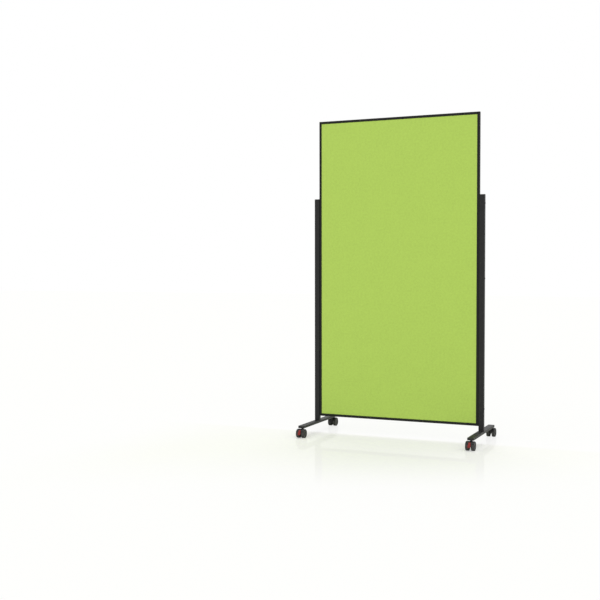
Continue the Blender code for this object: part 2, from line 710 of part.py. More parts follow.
def hood_mesh():
    """Make the hood round its swivel axis, with its socket, axle bore and pedal pocket."""
    mesh = joined(roof_mesh(), prism("keel", caster_plane(keel_outline()), KEEL_WIDTH))
    bottom = AXLE_HEIGHT - SOCKET_DROP
    chamfer = SOCKET_RADIUS - SOCKET_CHAMFER
    profile = ((bottom, 0.0), (bottom, chamfer), (bottom + SOCKET_CHAMFER, SOCKET_RADIUS),
               (SOCKET_TOP - SOCKET_CHAMFER, SOCKET_RADIUS), (SOCKET_TOP, chamfer), (SOCKET_TOP, 0.0))
    turret = revolved("turret", profile, WHEEL_FACETS)
    mesh = joined(mesh, placed(turret, rotation=(0.0, -90.0, 0.0)))
    bore = pin("bore", STEM_RADIUS + SEAT_GAP, SOCKET_TOP - STEM_REACH, SOCKET_TOP + CUT_OVERRUN)
    mesh = cut(mesh, placed(bore, rotation=(0.0, -90.0, 0.0)))
    reach = KEEL_WIDTH / 2 + CUT_OVERRUN
    axle_hole = pin("axle_hole", AXLE_RADIUS + SEAT_GAP, -reach, reach)
    return cut(mesh, placed(axle_hole, (0.0, -CASTER_TRAIL, AXLE_HEIGHT)))


def braked_hood_mesh():
    """Cut a hood open between two cheeks that carry the pedal's trunnions."""
    inner = AXLE_BOSS_RADIUS + POCKET_INNER_GAP
    outer = HOOD_OUTER + CUT_OVERRUN
    pocket = caster_plane(sector(inner, outer, POCKET_LOW_ANGLE, POCKET_HIGH_ANGLE, KEEL_STEPS))
    mesh = cut(hood_mesh(), prism("pocket", pocket, POCKET_WIDTH))
    reach = KEEL_WIDTH / 2 + CUT_OVERRUN
    (y, z), = caster_plane([polar(PIVOT_RADIAL, PIVOT_ANGLE)])
    return cut(mesh, placed(pin("trunnion", PIVOT_RADIUS + SEAT_GAP, -reach, reach), (0.0, y, z)))


def pedal_plane(points):
    """Turn (outward, up) points round the axle into (y, z) points round the pedal's pivot."""
    out, up = polar(PIVOT_RADIAL, PIVOT_ANGLE)
    return [(out - x, z - up) for x, z in points]


def released(points):
    """Swing (y, z) points round the pivot from the braked place to the released one."""
    turn = math.radians(-PEDAL_TRAVEL)
    return [(y * math.cos(turn) - z * math.sin(turn), y * math.sin(turn) + z * math.cos(turn))
            for y, z in points]


def tongue_line():
    """List the tongue's middle line, (outward, up), from its top to its turned-out lip."""
    points = []
    for step in range(TONGUE_STEPS + 1):
        part = step / TONGUE_STEPS
        gap = TONGUE_TOP_GAP + (TONGUE_END_GAP - TONGUE_TOP_GAP) * part
        angle = TONGUE_TOP_ANGLE + (TONGUE_END_ANGLE - TONGUE_TOP_ANGLE) * part
        points.append(polar(WHEEL_RADIUS + gap, angle))
    end = points[-1]
    points.append((end[0] + LIP_REACH, end[1] - LIP_REACH / 2))
    return points


def tongue_mesh():
    """Sweep a chamfered strip that widens downward along the tongue's line."""
    line = [Vector(point) for point in tongue_line()]
    rings = []
    for number, point in enumerate(line):
        ahead = line[min(number + 1, len(line) - 1)] - line[max(number - 1, 0)]
        across = Vector((ahead.y, -ahead.x)).normalized()
        part = min(number / TONGUE_STEPS, 1.0)
        ease = part * part * (3 - 2 * part)
        half = (TONGUE_TOP_WIDTH + (TONGUE_END_WIDTH - TONGUE_TOP_WIDTH) * ease) / 2
        ring = []
        for x, offset in rounded_outline(2 * half, TONGUE_THICKNESS, TONGUE_CHAMFER, 1):
            (y, z), = pedal_plane([point + across * offset])
            ring.append((x, y, z))
        rings.append(ring)
    return loft("tongue", rings)


def shoe_mesh(side):
    """Make one brake shoe, which meets a tyre's tread when the pedal is down."""
    outer = WHEEL_RADIUS + TONGUE_TOP_GAP - TONGUE_THICKNESS / 2
    inner = WHEEL_RADIUS - TYRE_CROWN + SEAT_GAP
    outline = sector(inner, outer, SHOE_LOW_ANGLE, SHOE_HIGH_ANGLE, SHOULDER_STEPS)
    inside = WHEEL_SPACE / 2 - SHOE_INNER_LAP
    outside = WHEEL_SPACE / 2 + SHOE_LAP
    mesh = prism("shoe", released(pedal_plane(outline)), outside - inside)
    return placed(mesh, (side * (inside + outside) / 2, 0.0, 0.0))


def pedal_mesh():
    """Make the brake pedal round its pivot: knuckle, trunnions, tongue and two shoes."""
    pivot = polar(PIVOT_RADIAL, PIVOT_ANGLE)
    width = POCKET_WIDTH - 2 * SEAT_GAP
    mesh = tongue_mesh()
    round_end = arc(pivot, KNUCKLE_RADIUS, PIVOT_ANGLE + 90, PIVOT_ANGLE + 270, 2 * CORNER_STEPS)
    web = [polar(WHEEL_RADIUS + TONGUE_END_GAP - TONGUE_THICKNESS, WEB_LOW_ANGLE),
           polar(WHEEL_RADIUS + TONGUE_TOP_GAP, WEB_TOP_ANGLE)]
    mesh = joined(mesh, prism("knuckle", pedal_plane(round_end + web), width))
    half = KEEL_WIDTH / 2 - SEAT_GAP
    mesh = joined(mesh, pin("trunnions", PIVOT_RADIUS, -half, half))
    for side in (-1, 1):
        mesh = joined(mesh, shoe_mesh(side))
    return rounded(mesh)


def build_casters():
    """Build four casters; the two at the front have a brake pedal."""
    nylon = material("hood_nylon", PLASTIC_BLACK, 0.42)
    hub = material("wheel_nylon", PLASTIC_BLACK, 0.38)
    rubber = material("tyre_rubber", TYRE_GREY, 0.7)
    steel = material("caster_zinc", BLACK_ZINC, 0.36, 0.9)
    red = material("pedal_red", PEDAL_RED, 0.45)
    hood, braked = rounded(hood_mesh()), rounded(braked_hood_mesh())
    tyre, wheel, axle, stem, pedal = tyre_mesh(), wheel_mesh(), axle_mesh(), stem_mesh(), pedal_mesh()
    (pedal_y, pedal_z), = caster_plane([polar(PIVOT_RADIAL, PIVOT_ANGLE)])
    axle_place = (0.0, -CASTER_TRAIL, AXLE_HEIGHT)
    for side, x in (("left", -POST_X), ("right", POST_X)):
        for end, y, turn in (("front", -STEM_Y, 0.0), ("back", STEM_Y, 180.0)):
            name = f"{end}_{side}"
            node(f"stem_{name}", stem, steel, (x, y, BAR_BOTTOM))
            swivel = empty(f"swivel_{name}", (x, y, 0.0), turn)
            front = end == "front"
            node(f"hood_{name}", braked if front else hood, nylon, parent=swivel)
            node(f"axle_{name}", axle, steel, axle_place, parent=swivel)
            for hand, sign, flip in (("outer", 1, 0.0), ("inner", -1, 180.0)):
                outward = sign if (x > 0) == front else -sign
                facing = flip if (x > 0) == front else 180.0 - flip
                place = (outward * WHEEL_X, -CASTER_TRAIL, AXLE_HEIGHT)
                node(f"wheel_{name}_{hand}", wheel, hub, place, (0.0, 0.0, facing), swivel)
                node(f"tyre_{name}_{hand}", tyre, rubber, place, (0.0, 0.0, facing), swivel)
            if front:
                node(f"brake_pedal_{side}", pedal, red, (0.0, pedal_y, pedal_z), parent=swivel)


def main():
    """Build the whole pinboard."""
    clear_scene()
    build_board()
    build_stand()
    build_casters()


if __name__ == "__main__":
    main()
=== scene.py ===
"""Mobile pinboard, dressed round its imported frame.

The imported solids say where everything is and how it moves. This script puts a finer
mesh and a real finish on each visible piece, and adds the studio round it. Lengths are
in metres, +Z is up and the front of the board faces -Y.
"""
import json
import logging
import math
from dataclasses import dataclass, replace
from enum import Enum, IntEnum
from functools import reduce
from itertools import product
from typing import Any, Iterable, Sequence, Union

import bmesh
import bpy
import numpy as np
from mathutils import Matrix, Vector

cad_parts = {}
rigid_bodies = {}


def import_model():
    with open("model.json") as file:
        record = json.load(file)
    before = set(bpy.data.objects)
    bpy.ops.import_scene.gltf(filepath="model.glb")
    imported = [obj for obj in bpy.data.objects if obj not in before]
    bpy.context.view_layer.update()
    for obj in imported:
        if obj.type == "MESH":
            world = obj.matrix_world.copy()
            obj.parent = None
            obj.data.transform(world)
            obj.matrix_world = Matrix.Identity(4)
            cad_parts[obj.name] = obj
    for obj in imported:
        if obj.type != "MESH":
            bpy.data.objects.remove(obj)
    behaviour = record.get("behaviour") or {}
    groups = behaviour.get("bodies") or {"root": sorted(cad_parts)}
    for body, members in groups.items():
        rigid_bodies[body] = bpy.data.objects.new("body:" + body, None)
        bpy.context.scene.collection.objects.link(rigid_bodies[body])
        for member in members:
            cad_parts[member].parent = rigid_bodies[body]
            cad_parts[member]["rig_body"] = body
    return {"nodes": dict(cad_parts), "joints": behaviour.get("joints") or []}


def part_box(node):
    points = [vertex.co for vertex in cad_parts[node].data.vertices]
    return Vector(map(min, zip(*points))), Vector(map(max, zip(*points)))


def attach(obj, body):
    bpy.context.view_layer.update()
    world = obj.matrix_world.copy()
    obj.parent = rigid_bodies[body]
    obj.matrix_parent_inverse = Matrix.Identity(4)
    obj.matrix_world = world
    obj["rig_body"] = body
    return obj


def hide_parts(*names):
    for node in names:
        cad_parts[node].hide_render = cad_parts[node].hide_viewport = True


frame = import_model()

log = logging.getLogger("pinboard")

Point = tuple[float, float]
Triple = tuple[float, float, float]
Mesh = bpy.types.Mesh
Material = bpy.types.Material
Node = bpy.types.Node
Object = bpy.types.Object
Socket = bpy.types.NodeSocket
Number = Union[float, "Value"]
Sockets = dict[Union[str, int], Any]

MERGE_DISTANCE = 1e-6
CORNER_SHARE = 0.45
SMOOTH_ANGLE = 34.0
MOULDED_ANGLE = 60.0
OVERRUN = 0.002
SIGNS = (-1, 1)
AXLE: Point = (0.0, 0.0)
NOWHERE: Triple = (0.0, 0.0, 0.0)
UPRIGHT: Triple = (0.0, -90.0, 0.0)
HALF_TURN: Triple = (0.0, 0.0, 180.0)
WHITE: Triple = (1.0, 1.0, 1.0)
SOFT: Point = (0.30, 0.70)
FIRM: Point = (0.35, 0.65)


class Named(Enum):
    """A choice that is written as its word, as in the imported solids' names."""

    def __str__(self) -> str:
        """Give the word."""
        return self.name.lower()


class Side(Named):
    """The two sides of the board, with the sign of their X."""

    LEFT, RIGHT = SIGNS


class End(Named):
    """The two ends of a base bar, or faces of the board, with the sign of their Y."""

    FRONT, BACK = SIGNS


class Hand(Named):
    """The two wheels of a caster, with the sign of their way out from the board."""

    OUTER, INNER = 1, -1


class Level(Named):
    """The three bolts of a post, from the floor up."""

    LOW, MIDDLE, TOP = range(3)


class Cut(Enum):
    """What the exact solver does with a tool."""

    TAKE = "DIFFERENCE"
    FUSE = "UNION"
    KEEP = "INTERSECT"


class Facets(IntEnum):
    """How many facets go round what is turned."""

    HEXAGON = 6
    HOLE = 24
    BORE = 32
    PIN = 40
    BEVEL = 48
    TURRET = 64
    WHEEL = 96


class Corner(IntEnum):
    """How many facets a rounded corner gets."""

    FINE = 3
    PLAIN = 4
    EDGE = 5
    ROUND = 6
    FULL = 8


# Shader graphs


@dataclass(frozen=True)
class Grain:
    """Noise of a size in metres, with some finer layers as rough as that.

    It can be stretched along each axis, turned by degrees about Y, and swirled.
    """

    size: float
    layers: float = 3.0
    roughness: float = 0.55
    stretch: Triple = (1.0, 1.0, 1.0)
    turn: float = 0.0
    swirl: float = 0.0


class Value:
    """One number that varies over a surface; arithmetic on it adds Math nodes."""

    def __init__(self, graph: "Nodes", socket: Socket) -> None:
        """Wrap a socket of a graph."""
        self.graph = graph
        self.socket = socket

    def maths(self, operation: str, *operands: Number) -> "Value":
        """Add a Math node to the graph."""
        return self.graph.value("ShaderNodeMath", dict(enumerate(operands)), operation=operation)

    def __add__(self, other: Number) -> "Value":
        """Add a number or a value."""
        return self.maths("ADD", self, other)

    def __mul__(self, other: Number) -> "Value":
        """Multiply by a number or a value."""
        return self.maths("MULTIPLY", self, other)

    __radd__, __rmul__ = __add__, __mul__

    def __sub__(self, other: Number) -> "Value":
        """Take a number or a value away."""
        return self.maths("SUBTRACT", self, other)

    def __rsub__(self, other: Number) -> "Value":
        """Take this value away from a number."""
        return self.maths("SUBTRACT", other, self)

    def __pow__(self, power: float) -> "Value":
        """Raise to a power."""
        return self.maths("POWER", self, power)

    def __abs__(self) -> "Value":
        """Drop the sign."""
        return self.maths("ABSOLUTE", self)

    def most(self, other: Number) -> "Value":
        """Give the larger of two values."""
        return self.maths("MAXIMUM", self, other)

    def between(self, low: float, high: float) -> "Value":
        """Ease from 0 at low to 1 at high; low may be the larger one."""
        return self.graph.value("ShaderNodeMapRange", {0: self, 1: low, 2: high},
                                interpolation_type="SMOOTHSTEP")


class Nodes:
    """A node tree that is filled one node at a time."""

    def __init__(self, tree: bpy.types.NodeTree) -> None:
        """Wrap a tree."""
        self.tree = tree

    def node(self, kind: str, sockets: Sockets | None = None, **settings: Any) -> Node:
        """Add any node.

        Args:
            kind: its type.
            sockets: what its inputs hold or are linked to.
            settings: its properties, which are set first.

        Returns:
            The node.
        """
        made = self.tree.nodes.new(kind)
        for key, value in settings.items():
            setattr(made, key, value)
        self.fill(made, sockets or {})
        return made

    def value(self, kind: str, sockets: Sockets, **settings: Any) -> Value:
        """Add any node and wrap its first output."""
        return Value(self, self.node(kind, sockets, **settings).outputs[0])

    def fill(self, node: Node, sockets: Sockets) -> None:
        """Link values and sockets to a node's inputs, or write constants into them.

        Args:
            node: the node.
            sockets: what each input gets, by its name or number.
        """
        for key, value in sockets.items():
            socket = node.inputs[key]
            if isinstance(value, Value):
                value = value.socket
            if isinstance(value, Socket):
                self.tree.links.new(value, socket)
            elif socket.type == "RGBA":
                socket.default_value = (*value, 1.0)
            else:
                socket.default_value = value

    def seen_by(self, *rays: str) -> Value:
        """Mask what rays of any of these kinds see."""
        paths = self.node("ShaderNodeLightPath")
        return reduce(Value.most, [Value(self, paths.outputs[f"Is {ray} Ray"]) for ray in rays])

    def blend(self, share: Value, one: Node, two: Node) -> Node:
        """Mix two shaders."""
        return self.node("ShaderNodeMixShader", {0: share, 1: one.outputs[0], 2: two.outputs[0]})


class Surface(Nodes):
    """A material's node tree round its Principled shader."""

    def __init__(self, name: str) -> None:
        """Make an empty material.

        Args:
            name: its name.
        """
        self.made = bpy.data.materials.new(name)
        self.made.use_nodes = True
        super().__init__(self.made.node_tree)
        self.shader = self.tree.nodes["Principled BSDF"]
        self.place = self.node("ShaderNodeTexCoord").outputs["Object"]

    def noise(self, grain: Grain) -> Value:
        """Make noise from 0 to 1."""
        place = self.node("ShaderNodeMapping", {
            "Vector": self.place, "Rotation": (0.0, math.radians(grain.turn), 0.0),
            "Scale": grain.stretch}, vector_type="TEXTURE").outputs[0]
        return self.value("ShaderNodeTexNoise", {
            "Vector": place, "Scale": 1 / grain.size, "Detail": grain.layers,
            "Roughness": grain.roughness, "Distortion": grain.swirl})

    def cells(self, size: float) -> Value:
        """Make small round bumps about size metres apart, from 0 at their middles."""
        return self.value("ShaderNodeTexVoronoi", {
            "Vector": self.place, "Scale": 1 / size, "Smoothness": 0.6}, feature="SMOOTH_F1")

    def axes(self) -> tuple[Value, ...]:
        """Give the place on the piece as three values in metres."""
        parts = self.node("ShaderNodeSeparateXYZ", {0: self.place})
        return tuple(Value(self, socket) for socket in parts.outputs)

    def edges(self, half: Sequence[float], width: float) -> Value:
        """Mask the edges of a box of half sizes round the origin, from 0 at a width off to 1."""
        x, y, z = (abs(axis).between(size - width, size) for axis, size in zip(self.axes(), half))
        return (x * y).most(y * z).most(x * z)

    def mix(self, share: Number, one: Any, two: Any) -> Socket:
        """Mix two colours."""
        return self.node("ShaderNodeMix", {0: share, 6: one, 7: two}, data_type="RGBA").outputs[2]

    def varied(self, share: Value, colour: Triple, tones: Point) -> Socket:
        """Vary a colour from its darker to its lighter tone."""
        return self.mix(share, *(shade(colour, tone) for tone in tones))

    def coated(self, ground: Socket, mask: Value, colour: Triple, coat: Point) -> Socket:
        """Lay a colour over a ground; a coat is its share where the mask is 1, and its tone."""
        return self.mix(mask * coat[0], ground, shade(colour, coat[1]))

    def bump(self, height: Value, distance: float, below: Sockets | None = None) -> Sockets:
        """Turn heights from 0 to 1 into a relief in metres, on another one if that is given."""
        sockets = {"Height": height, "Distance": distance, "Strength": 1.0, **(below or {})}
        return {"Normal": self.node("ShaderNodeBump", sockets).outputs[0]}


def shade(colour: Triple, tone: float) -> Triple:
    """Lighten or darken a colour."""
    return tuple(channel * tone for channel in colour)


# Finishes


@dataclass(frozen=True)
class Finish:
    """A finish, which fills the sockets of a surface's shader."""

    name: str

    def paint(self, on: Surface) -> Sockets:
        """Give what each socket of the shader gets."""
        raise NotImplementedError

    def material(self) -> Material:
        """Make the material.

        Returns:
            The material.
        """
        on = Surface(self.name)
        on.fill(on.shader, self.paint(on))
        return on.made


@dataclass(frozen=True)
class NeedleFelt(Finish):
    """Short matt felt: laid fibres over a slightly mottled green."""

    name: str = "needle_felt"
    green: Triple = (0.421, 0.598, 0.109)
    lit: Triple = (0.488, 0.658, 0.147)
    lay: Triple = (12.0, 68.0, 127.0)
    strand: Grain = Grain(0.0007, 2.0, 0.6, (9.0, 1.0, 1.0), swirl=0.4)
    strand_band: Point = (0.50, 0.74)
    strand_share: float = 0.40
    pit_band: Point = (0.0, 0.12)
    pit_coat: Point = (0.55, 0.72)
    mottle: Grain = Grain(0.012, 4.0, 0.6)
    mottle_band: Point = (0.34, 0.66)
    tones: Point = (0.95, 1.04)
    clouds: Grain = Grain(0.090, 2.0)
    cloud_coat: Point = (0.30, 1.05)
    relief: float = 0.00035

    def paint(self, on: Surface) -> Sockets:
        """Lay lighter strands over the mottled ground, with the pits between them darkened as painted shade.

        Args:
            on: the surface.

        Returns:
            What each socket of the shader gets.
        """
        strands = reduce(Value.most, [on.noise(replace(self.strand, turn=turn)) for turn in self.lay])
        mottle = on.noise(self.mottle)
        clouds = on.noise(self.clouds).between(*SOFT)
        ground = on.varied(mottle.between(*self.mottle_band), self.green, self.tones)
        ground = on.coated(ground, clouds, self.green, self.cloud_coat)
        colour = on.mix(strands.between(*self.strand_band) * self.strand_share, ground, self.lit)
        # the pits, where the relief sinks between strands, are darkened as painted shade
        shaded_pits = (0.5 - strands).between(*self.pit_band)
        return {"Base Color": on.coated(colour, shaded_pits, self.green, self.pit_coat),
                "Roughness": 0.88 + 0.08 * mottle,
                **on.bump(strands, self.relief, on.bump(mottle, self.relief)),
                "Sheen Weight": 0.18, "Sheen Roughness": 0.45, "Specular IOR Level": 0.20}


@dataclass(frozen=True)
class SoftFibreboard(Finish):
    """Raw soft fibreboard with coarse chips."""

    name: str = "soft_fibreboard"
    brown: Triple = (0.30, 0.22, 0.13)
    tones: Point = (0.72, 1.25)
    chips: Grain = Grain(0.0016, 4.0, 0.65, (4.0, 1.0, 1.0), 30.0, 0.6)
    dust: Grain = Grain(0.02)
    dust_coat: Point = (0.3, 1.0)
    relief: float = 0.0003

    def paint(self, on: Surface) -> Sockets:
        """Scatter the chips.

        Args:
            on: the surface.

        Returns:
            What each socket of the shader gets.
        """
        chips, dust = on.noise(self.chips), on.noise(self.dust)
        colour = on.varied(chips.between(*FIRM), self.brown, self.tones)
        return {"Base Color": on.coated(colour, dust, self.brown, self.dust_coat),
                "Roughness": 0.85 + 0.1 * dust, **on.bump(chips, self.relief)}


@dataclass(frozen=True)
class PowderCoat(Finish):
    """Fine textured powder coat, a little rubbed along the edges of a box-like piece, which are also
    lightened as a painted highlight.
    """

    colour: Triple
    half: Triple
    gloss: float = 0.50
    tones: Point = (0.90, 1.10)
    peel: Grain = Grain(0.0009, 2.0, 0.5)
    grit: float = 0.45
    grit_band: Point = (0.5, 0.1)
    grit_coat: Point = (0.25, 1.5)
    relief: float = 0.00012
    haze: Grain = Grain(0.035, 3.0, 0.6)
    scuffs: Grain = Grain(0.004, 4.0, 0.7, (6.0, 1.0, 1.0), 35.0)
    scuff_band: Point = (0.46, 0.66)
    rub_width: float = 0.0012
    rub_coat: Point = (0.45, 2.6)

    def paint(self, on: Surface) -> Sockets:
        """Spread the orange peel and its grit, then rub the edges and lighten them, partly as wear and partly
        as a painted edge highlight.

        Args:
            on: the surface.

        Returns:
            What each socket of the shader gets.
        """
        peel, grit = on.noise(self.peel), on.cells(self.peel.size * self.grit)
        haze, scuffs = on.noise(self.haze), on.noise(self.scuffs)
        # edges rubbed and lightened: partly wear, partly a painted edge highlight
        rubbed_and_highlit = on.edges(self.half, self.rub_width) * scuffs.between(*self.scuff_band)
        colour = on.varied(haze.between(*SOFT), self.colour, self.tones)
        colour = on.coated(colour, grit.between(*self.grit_band), self.colour, self.grit_coat)
        return {"Base Color": on.coated(colour, rubbed_and_highlit, self.colour, self.rub_coat),
                "Roughness": self.gloss + 0.10 * haze - 0.14 * rubbed_and_highlit,
                **on.bump(grit, -self.relief / 2, on.bump(peel, self.relief)),
                "Specular IOR Level": 0.25}


@dataclass(frozen=True)
class SatinChannel(Finish):
    """Black satin coat on extruded channel, with the die's faint lines along X and edges lightened, partly as
    wear and partly as a painted highlight.
    """

    half: Triple
    black: Triple = (0.009, 0.010, 0.0085)
    tones: Point = (0.88, 1.14)
    lines: Grain = Grain(0.0005, 3.0, 0.6, (400.0, 1.0, 1.0))
    haze: Grain = Grain(0.05, 3.0, 0.6)
    wear: Grain = Grain(0.006, 4.0, 0.7)
    wear_band: Point = (0.48, 0.68)
    wear_width: float = 0.0010
    wear_coat: Point = (0.4, 3.2)
    relief: float = 0.00003

    def paint(self, on: Surface) -> Sockets:
        """Draw the lines, then wear and lighten the edges, partly as wear and partly as a painted edge
        highlight.

        Args:
            on: the surface.

        Returns:
            What each socket of the shader gets.
        """
        lines, haze = on.noise(self.lines), on.noise(self.haze)
        # worn edges lightened: partly wear, partly a painted edge highlight
        wear = on.edges(self.half, self.wear_width) * on.noise(self.wear).between(*self.wear_band)
        colour = on.varied(lines.between(*FIRM), self.black, self.tones)
        return {"Base Color": on.coated(colour, wear, self.black, self.wear_coat),
                "Roughness": 0.36 + 0.12 * haze + 0.06 * lines, **on.bump(lines, self.relief),
                "Coat Weight": 0.01 + 0.02 * haze, "Coat Roughness": 0.35, "Specular IOR Level": 0.16}


@dataclass(frozen=True)
class MouldedNylon(Finish):
    """Moulded nylon with a spark-eroded grain, a few flow marks and a little dust."""

    colour: Triple
    gloss: float = 0.40
    tones: Point = (0.88, 1.14)
    grain: Grain = Grain(0.00035, 2.0, 0.6)
    flow: Grain = Grain(0.012, 3.0, 0.6, swirl=1.2)
    dust: Grain = Grain(0.003, 5.0, 0.7)
    dust_band: Point = (0.60, 0.80)
    dust_coat: Point = (0.25, 2.2)
    relief: float = 0.00005

    def paint(self, on: Surface) -> Sockets:
        """Draw the flow marks and settle the dust.

        Args:
            on: the surface.

        Returns:
            What each socket of the shader gets.
        """
        grain, flow, dust = on.noise(self.grain), on.noise(self.flow), on.noise(self.dust)
        colour = on.varied(flow.between(*SOFT), self.colour, self.tones)
        return {"Base Color": on.coated(colour, dust.between(*self.dust_band), self.colour, self.dust_coat),
                "Roughness": self.gloss + 0.12 * flow + 0.08 * dust, **on.bump(grain, self.relief),
                "Specular IOR Level": 0.30}


@dataclass(frozen=True)
class TreadRubber(Finish):
    """Soft grey-black rubber, turned round its own X axis, whose tread has picked up dust."""

    radius: float
    black: Triple = (0.030, 0.030, 0.031)
    tones: Point = (0.85, 1.2)
    dust: Triple = (0.105, 0.100, 0.094)
    dust_coat: Point = (0.55, 1.0)
    dust_depth: Point = (0.0014, 0.0002)
    patches: Grain = Grain(0.005, 5.0, 0.7)
    patch_band: Point = (0.40, 0.70)
    grain: Grain = Grain(0.0004, 2.0, 0.6)
    relief: float = 0.00006

    def paint(self, on: Surface) -> Sockets:
        """Dust the tread in patches.

        Args:
            on: the surface.

        Returns:
            What each socket of the shader gets.
        """
        _, y, z = on.axes()
        tread = ((y * y + z * z) ** 0.5).between(*(self.radius - depth for depth in self.dust_depth))
        patches, grain = on.noise(self.patches), on.noise(self.grain)
        dusty = tread * patches.between(*self.patch_band)
        colour = on.varied(patches, self.black, self.tones)
        return {"Base Color": on.coated(colour, dusty, self.dust, self.dust_coat),
                "Roughness": 0.62 + 0.2 * dusty + 0.05 * grain, **on.bump(grain, self.relief),
                "Specular IOR Level": 0.4}


@dataclass(frozen=True)
class PlatedSteel(Finish):
    """Zinc-plated steel, bright or blackened, with turning marks and dull patches."""

    colour: Triple
    gloss: float = 0.30
    tones: Point = (0.84, 1.12)
    spangle: Grain = Grain(0.0022, 3.0, 0.6)
    marks: Grain = Grain(0.0003, 2.0, 0.5, (1.0, 1.0, 12.0))
    dull: Grain = Grain(0.009, 4.0, 0.65)
    dull_band: Point = (0.5, 0.8)
    dull_coat: Point = (0.35, 0.6)
    relief: float = 0.00002

    def paint(self, on: Surface) -> Sockets:
        """Draw the spangle and the marks, then dull it in patches.

        Args:
            on: the surface.

        Returns:
            What each socket of the shader gets.
        """
        spangle, marks, dull = on.noise(self.spangle), on.noise(self.marks), on.noise(self.dull)
        colour = on.varied(spangle.between(*SOFT), self.colour, self.tones)
        return {"Base Color": on.coated(colour, dull.between(*self.dull_band), self.colour, self.dull_coat),
                "Roughness": self.gloss + 0.22 * dull, "Metallic": 1.0 - 0.15 * dull,
                **on.bump(marks, self.relief)}


# Meshes


def arc(centre: Point, radius: float, start: float, end: float, steps: int) -> list[Point]:
    """List points on an arc, angles in degrees, both ends included."""
    angles = np.radians(np.linspace(start, end, steps + 1))
    return [(centre[0] + radius * math.cos(a), centre[1] + radius * math.sin(a)) for a in angles]


def filleted(points: Sequence[Point], radius: float, steps: int = Corner.PLAIN,
             closed: bool = True) -> list[Point]:
    """Round the corners of an outline.

    Args:
        points: its corners in order.
        radius: how far from each corner the rounding starts; less where a side is short.
        steps: how many facets a corner gets.
        closed: whether the last point joins the first; an open line keeps its two ends.

    Returns:
        The rounded outline.
    """
    made: list[Point] = []
    for i, corner in enumerate(points):
        if not closed and i in (0, len(points) - 1):
            made.append(corner)
            continue
        here = Vector(corner)
        before, after = Vector(points[i - 1]) - here, Vector(points[(i + 1) % len(points)]) - here
        reach = min(radius, *(CORNER_SHARE * side.length for side in (before, after)))
        first, last = here + before.normalized() * reach, here + after.normalized() * reach
        for t in np.linspace(0.0, 1.0, steps + 1):
            made.append(tuple(first * (1 - t) ** 2 + here * (2 * t * (1 - t)) + last * t ** 2))
    return made


def shrunk(points: Sequence[Point], by: float) -> list[Point]:
    """Move a closed outline inward.

    Args:
        points: its corners, clockwise.
        by: how far each corner moves.

    Returns:
        The smaller outline.
    """
    made: list[Point] = []
    for i, corner in enumerate(points):
        here = Vector(corner)
        ways = (here - Vector(points[i - 1]), Vector(points[(i + 1) % len(points)]) - here)
        inward = sum((Vector((way.y, -way.x)).normalized() for way in ways), Vector((0.0, 0.0)))
        made.append(tuple(here + inward.normalized() * by))
    return made


def rectangle(width: float, depth: float, radius: float) -> list[Point]:
    """Outline a rectangle with round corners, centred on the origin."""
    x, y = width / 2, depth / 2
    return filleted([(-x, -y), (x, -y), (x, y), (-x, y)], radius, Corner.ROUND)


def smooth(mesh: Mesh, angle: float = SMOOTH_ANGLE) -> Mesh:
    """Shade a mesh smooth where its facets meet at less than an angle.

    Args:
        mesh: the mesh.
        angle: the angle in degrees.

    Returns:
        The same mesh.
    """
    mesh.shade_smooth()
    mesh.set_sharp_from_angle(angle=math.radians(angle))
    return mesh


def closed_mesh(bm: bmesh.types.BMesh) -> Mesh:
    """Turn a bmesh into a smooth mesh whose faces point out.

    Args:
        bm: the bmesh, which is freed.

    Returns:
        The mesh.
    """
    bmesh.ops.remove_doubles(bm, verts=bm.verts, dist=MERGE_DISTANCE)
    bmesh.ops.recalc_face_normals(bm, faces=bm.faces)
    made = bpy.data.meshes.new("piece")
    bm.to_mesh(made)
    bm.free()
    return smooth(made)


def skinned(rings: Sequence[Sequence[Triple]], ring_closed: bool = True, loop: bool = False) -> Mesh:
    """Skin a row of equal rings of points.

    Args:
        rings: the rings.
        ring_closed: whether a ring's last point joins its first.
        loop: whether the last ring joins the first; otherwise both ends are closed.

    Returns:
        The mesh.
    """
    bm = bmesh.new()
    rows = [[bm.verts.new(point) for point in ring] for ring in rings]
    count = len(rows[0])
    for lower, upper in zip(rows, rows[1:] + (rows[:1] if loop else [])):
        for i in range(count if ring_closed else count - 1):
            j = (i + 1) % count
            bm.faces.new((lower[i], lower[j], upper[j], upper[i]))
    if not loop:
        bm.faces.new(rows[0])
        bm.faces.new(rows[-1])
    return closed_mesh(bm)


def turned(profile: Sequence[Point], facets: int, closed: bool = False) -> Mesh:
    """Spin (x, radius) points round X; they start and end on it, unless they join up."""
    angles = [math.tau * step / facets for step in range(facets)]
    return skinned([[(x, r * math.sin(a), r * math.cos(a)) for x, r in profile] for a in angles],
                   closed, loop=True)


def rod(radius: float, start: float, end: float, facets: int, edge: float = 0.0) -> Mesh:
    """Turn a plain rod along X, with bevelled ends if asked for."""
    corners = [(start, radius - edge), (start + edge, radius), (end - edge, radius), (end, radius - edge)]
    return turned([(start, 0.0), *(corners if edge else corners[::3]), (end, 0.0)], facets)


def prism(outline: Iterable[Point], width: float, middle: float = 0.0) -> Mesh:
    """Extrude (y, z) points across X."""
    points = list(outline)
    return skinned([[(middle + side * width / 2, y, z) for y, z in points] for side in SIGNS])


def rounded_slab(size: Sequence[float], corner: float, edge: float) -> Mesh:
    """Make a box round the origin.

    Args:
        size: its width, depth and height.
        corner: the radius of its corners seen from above.
        edge: the radius of the edges of its top and bottom.

    Returns:
        The mesh.
    """
    levels = []
    for side in SIGNS:
        for angle in np.linspace(0.0, math.pi / 2, Corner.EDGE + 1)[::-side]:
            inset = edge * (1 - math.sin(angle))
            height = side * (size[2] / 2 - edge * (1 - math.cos(angle)))
            outline = rectangle(size[0] - 2 * inset, size[1] - 2 * inset, corner - inset)
            levels.append([(x, y, height) for x, y in outline])
    return skinned(levels)


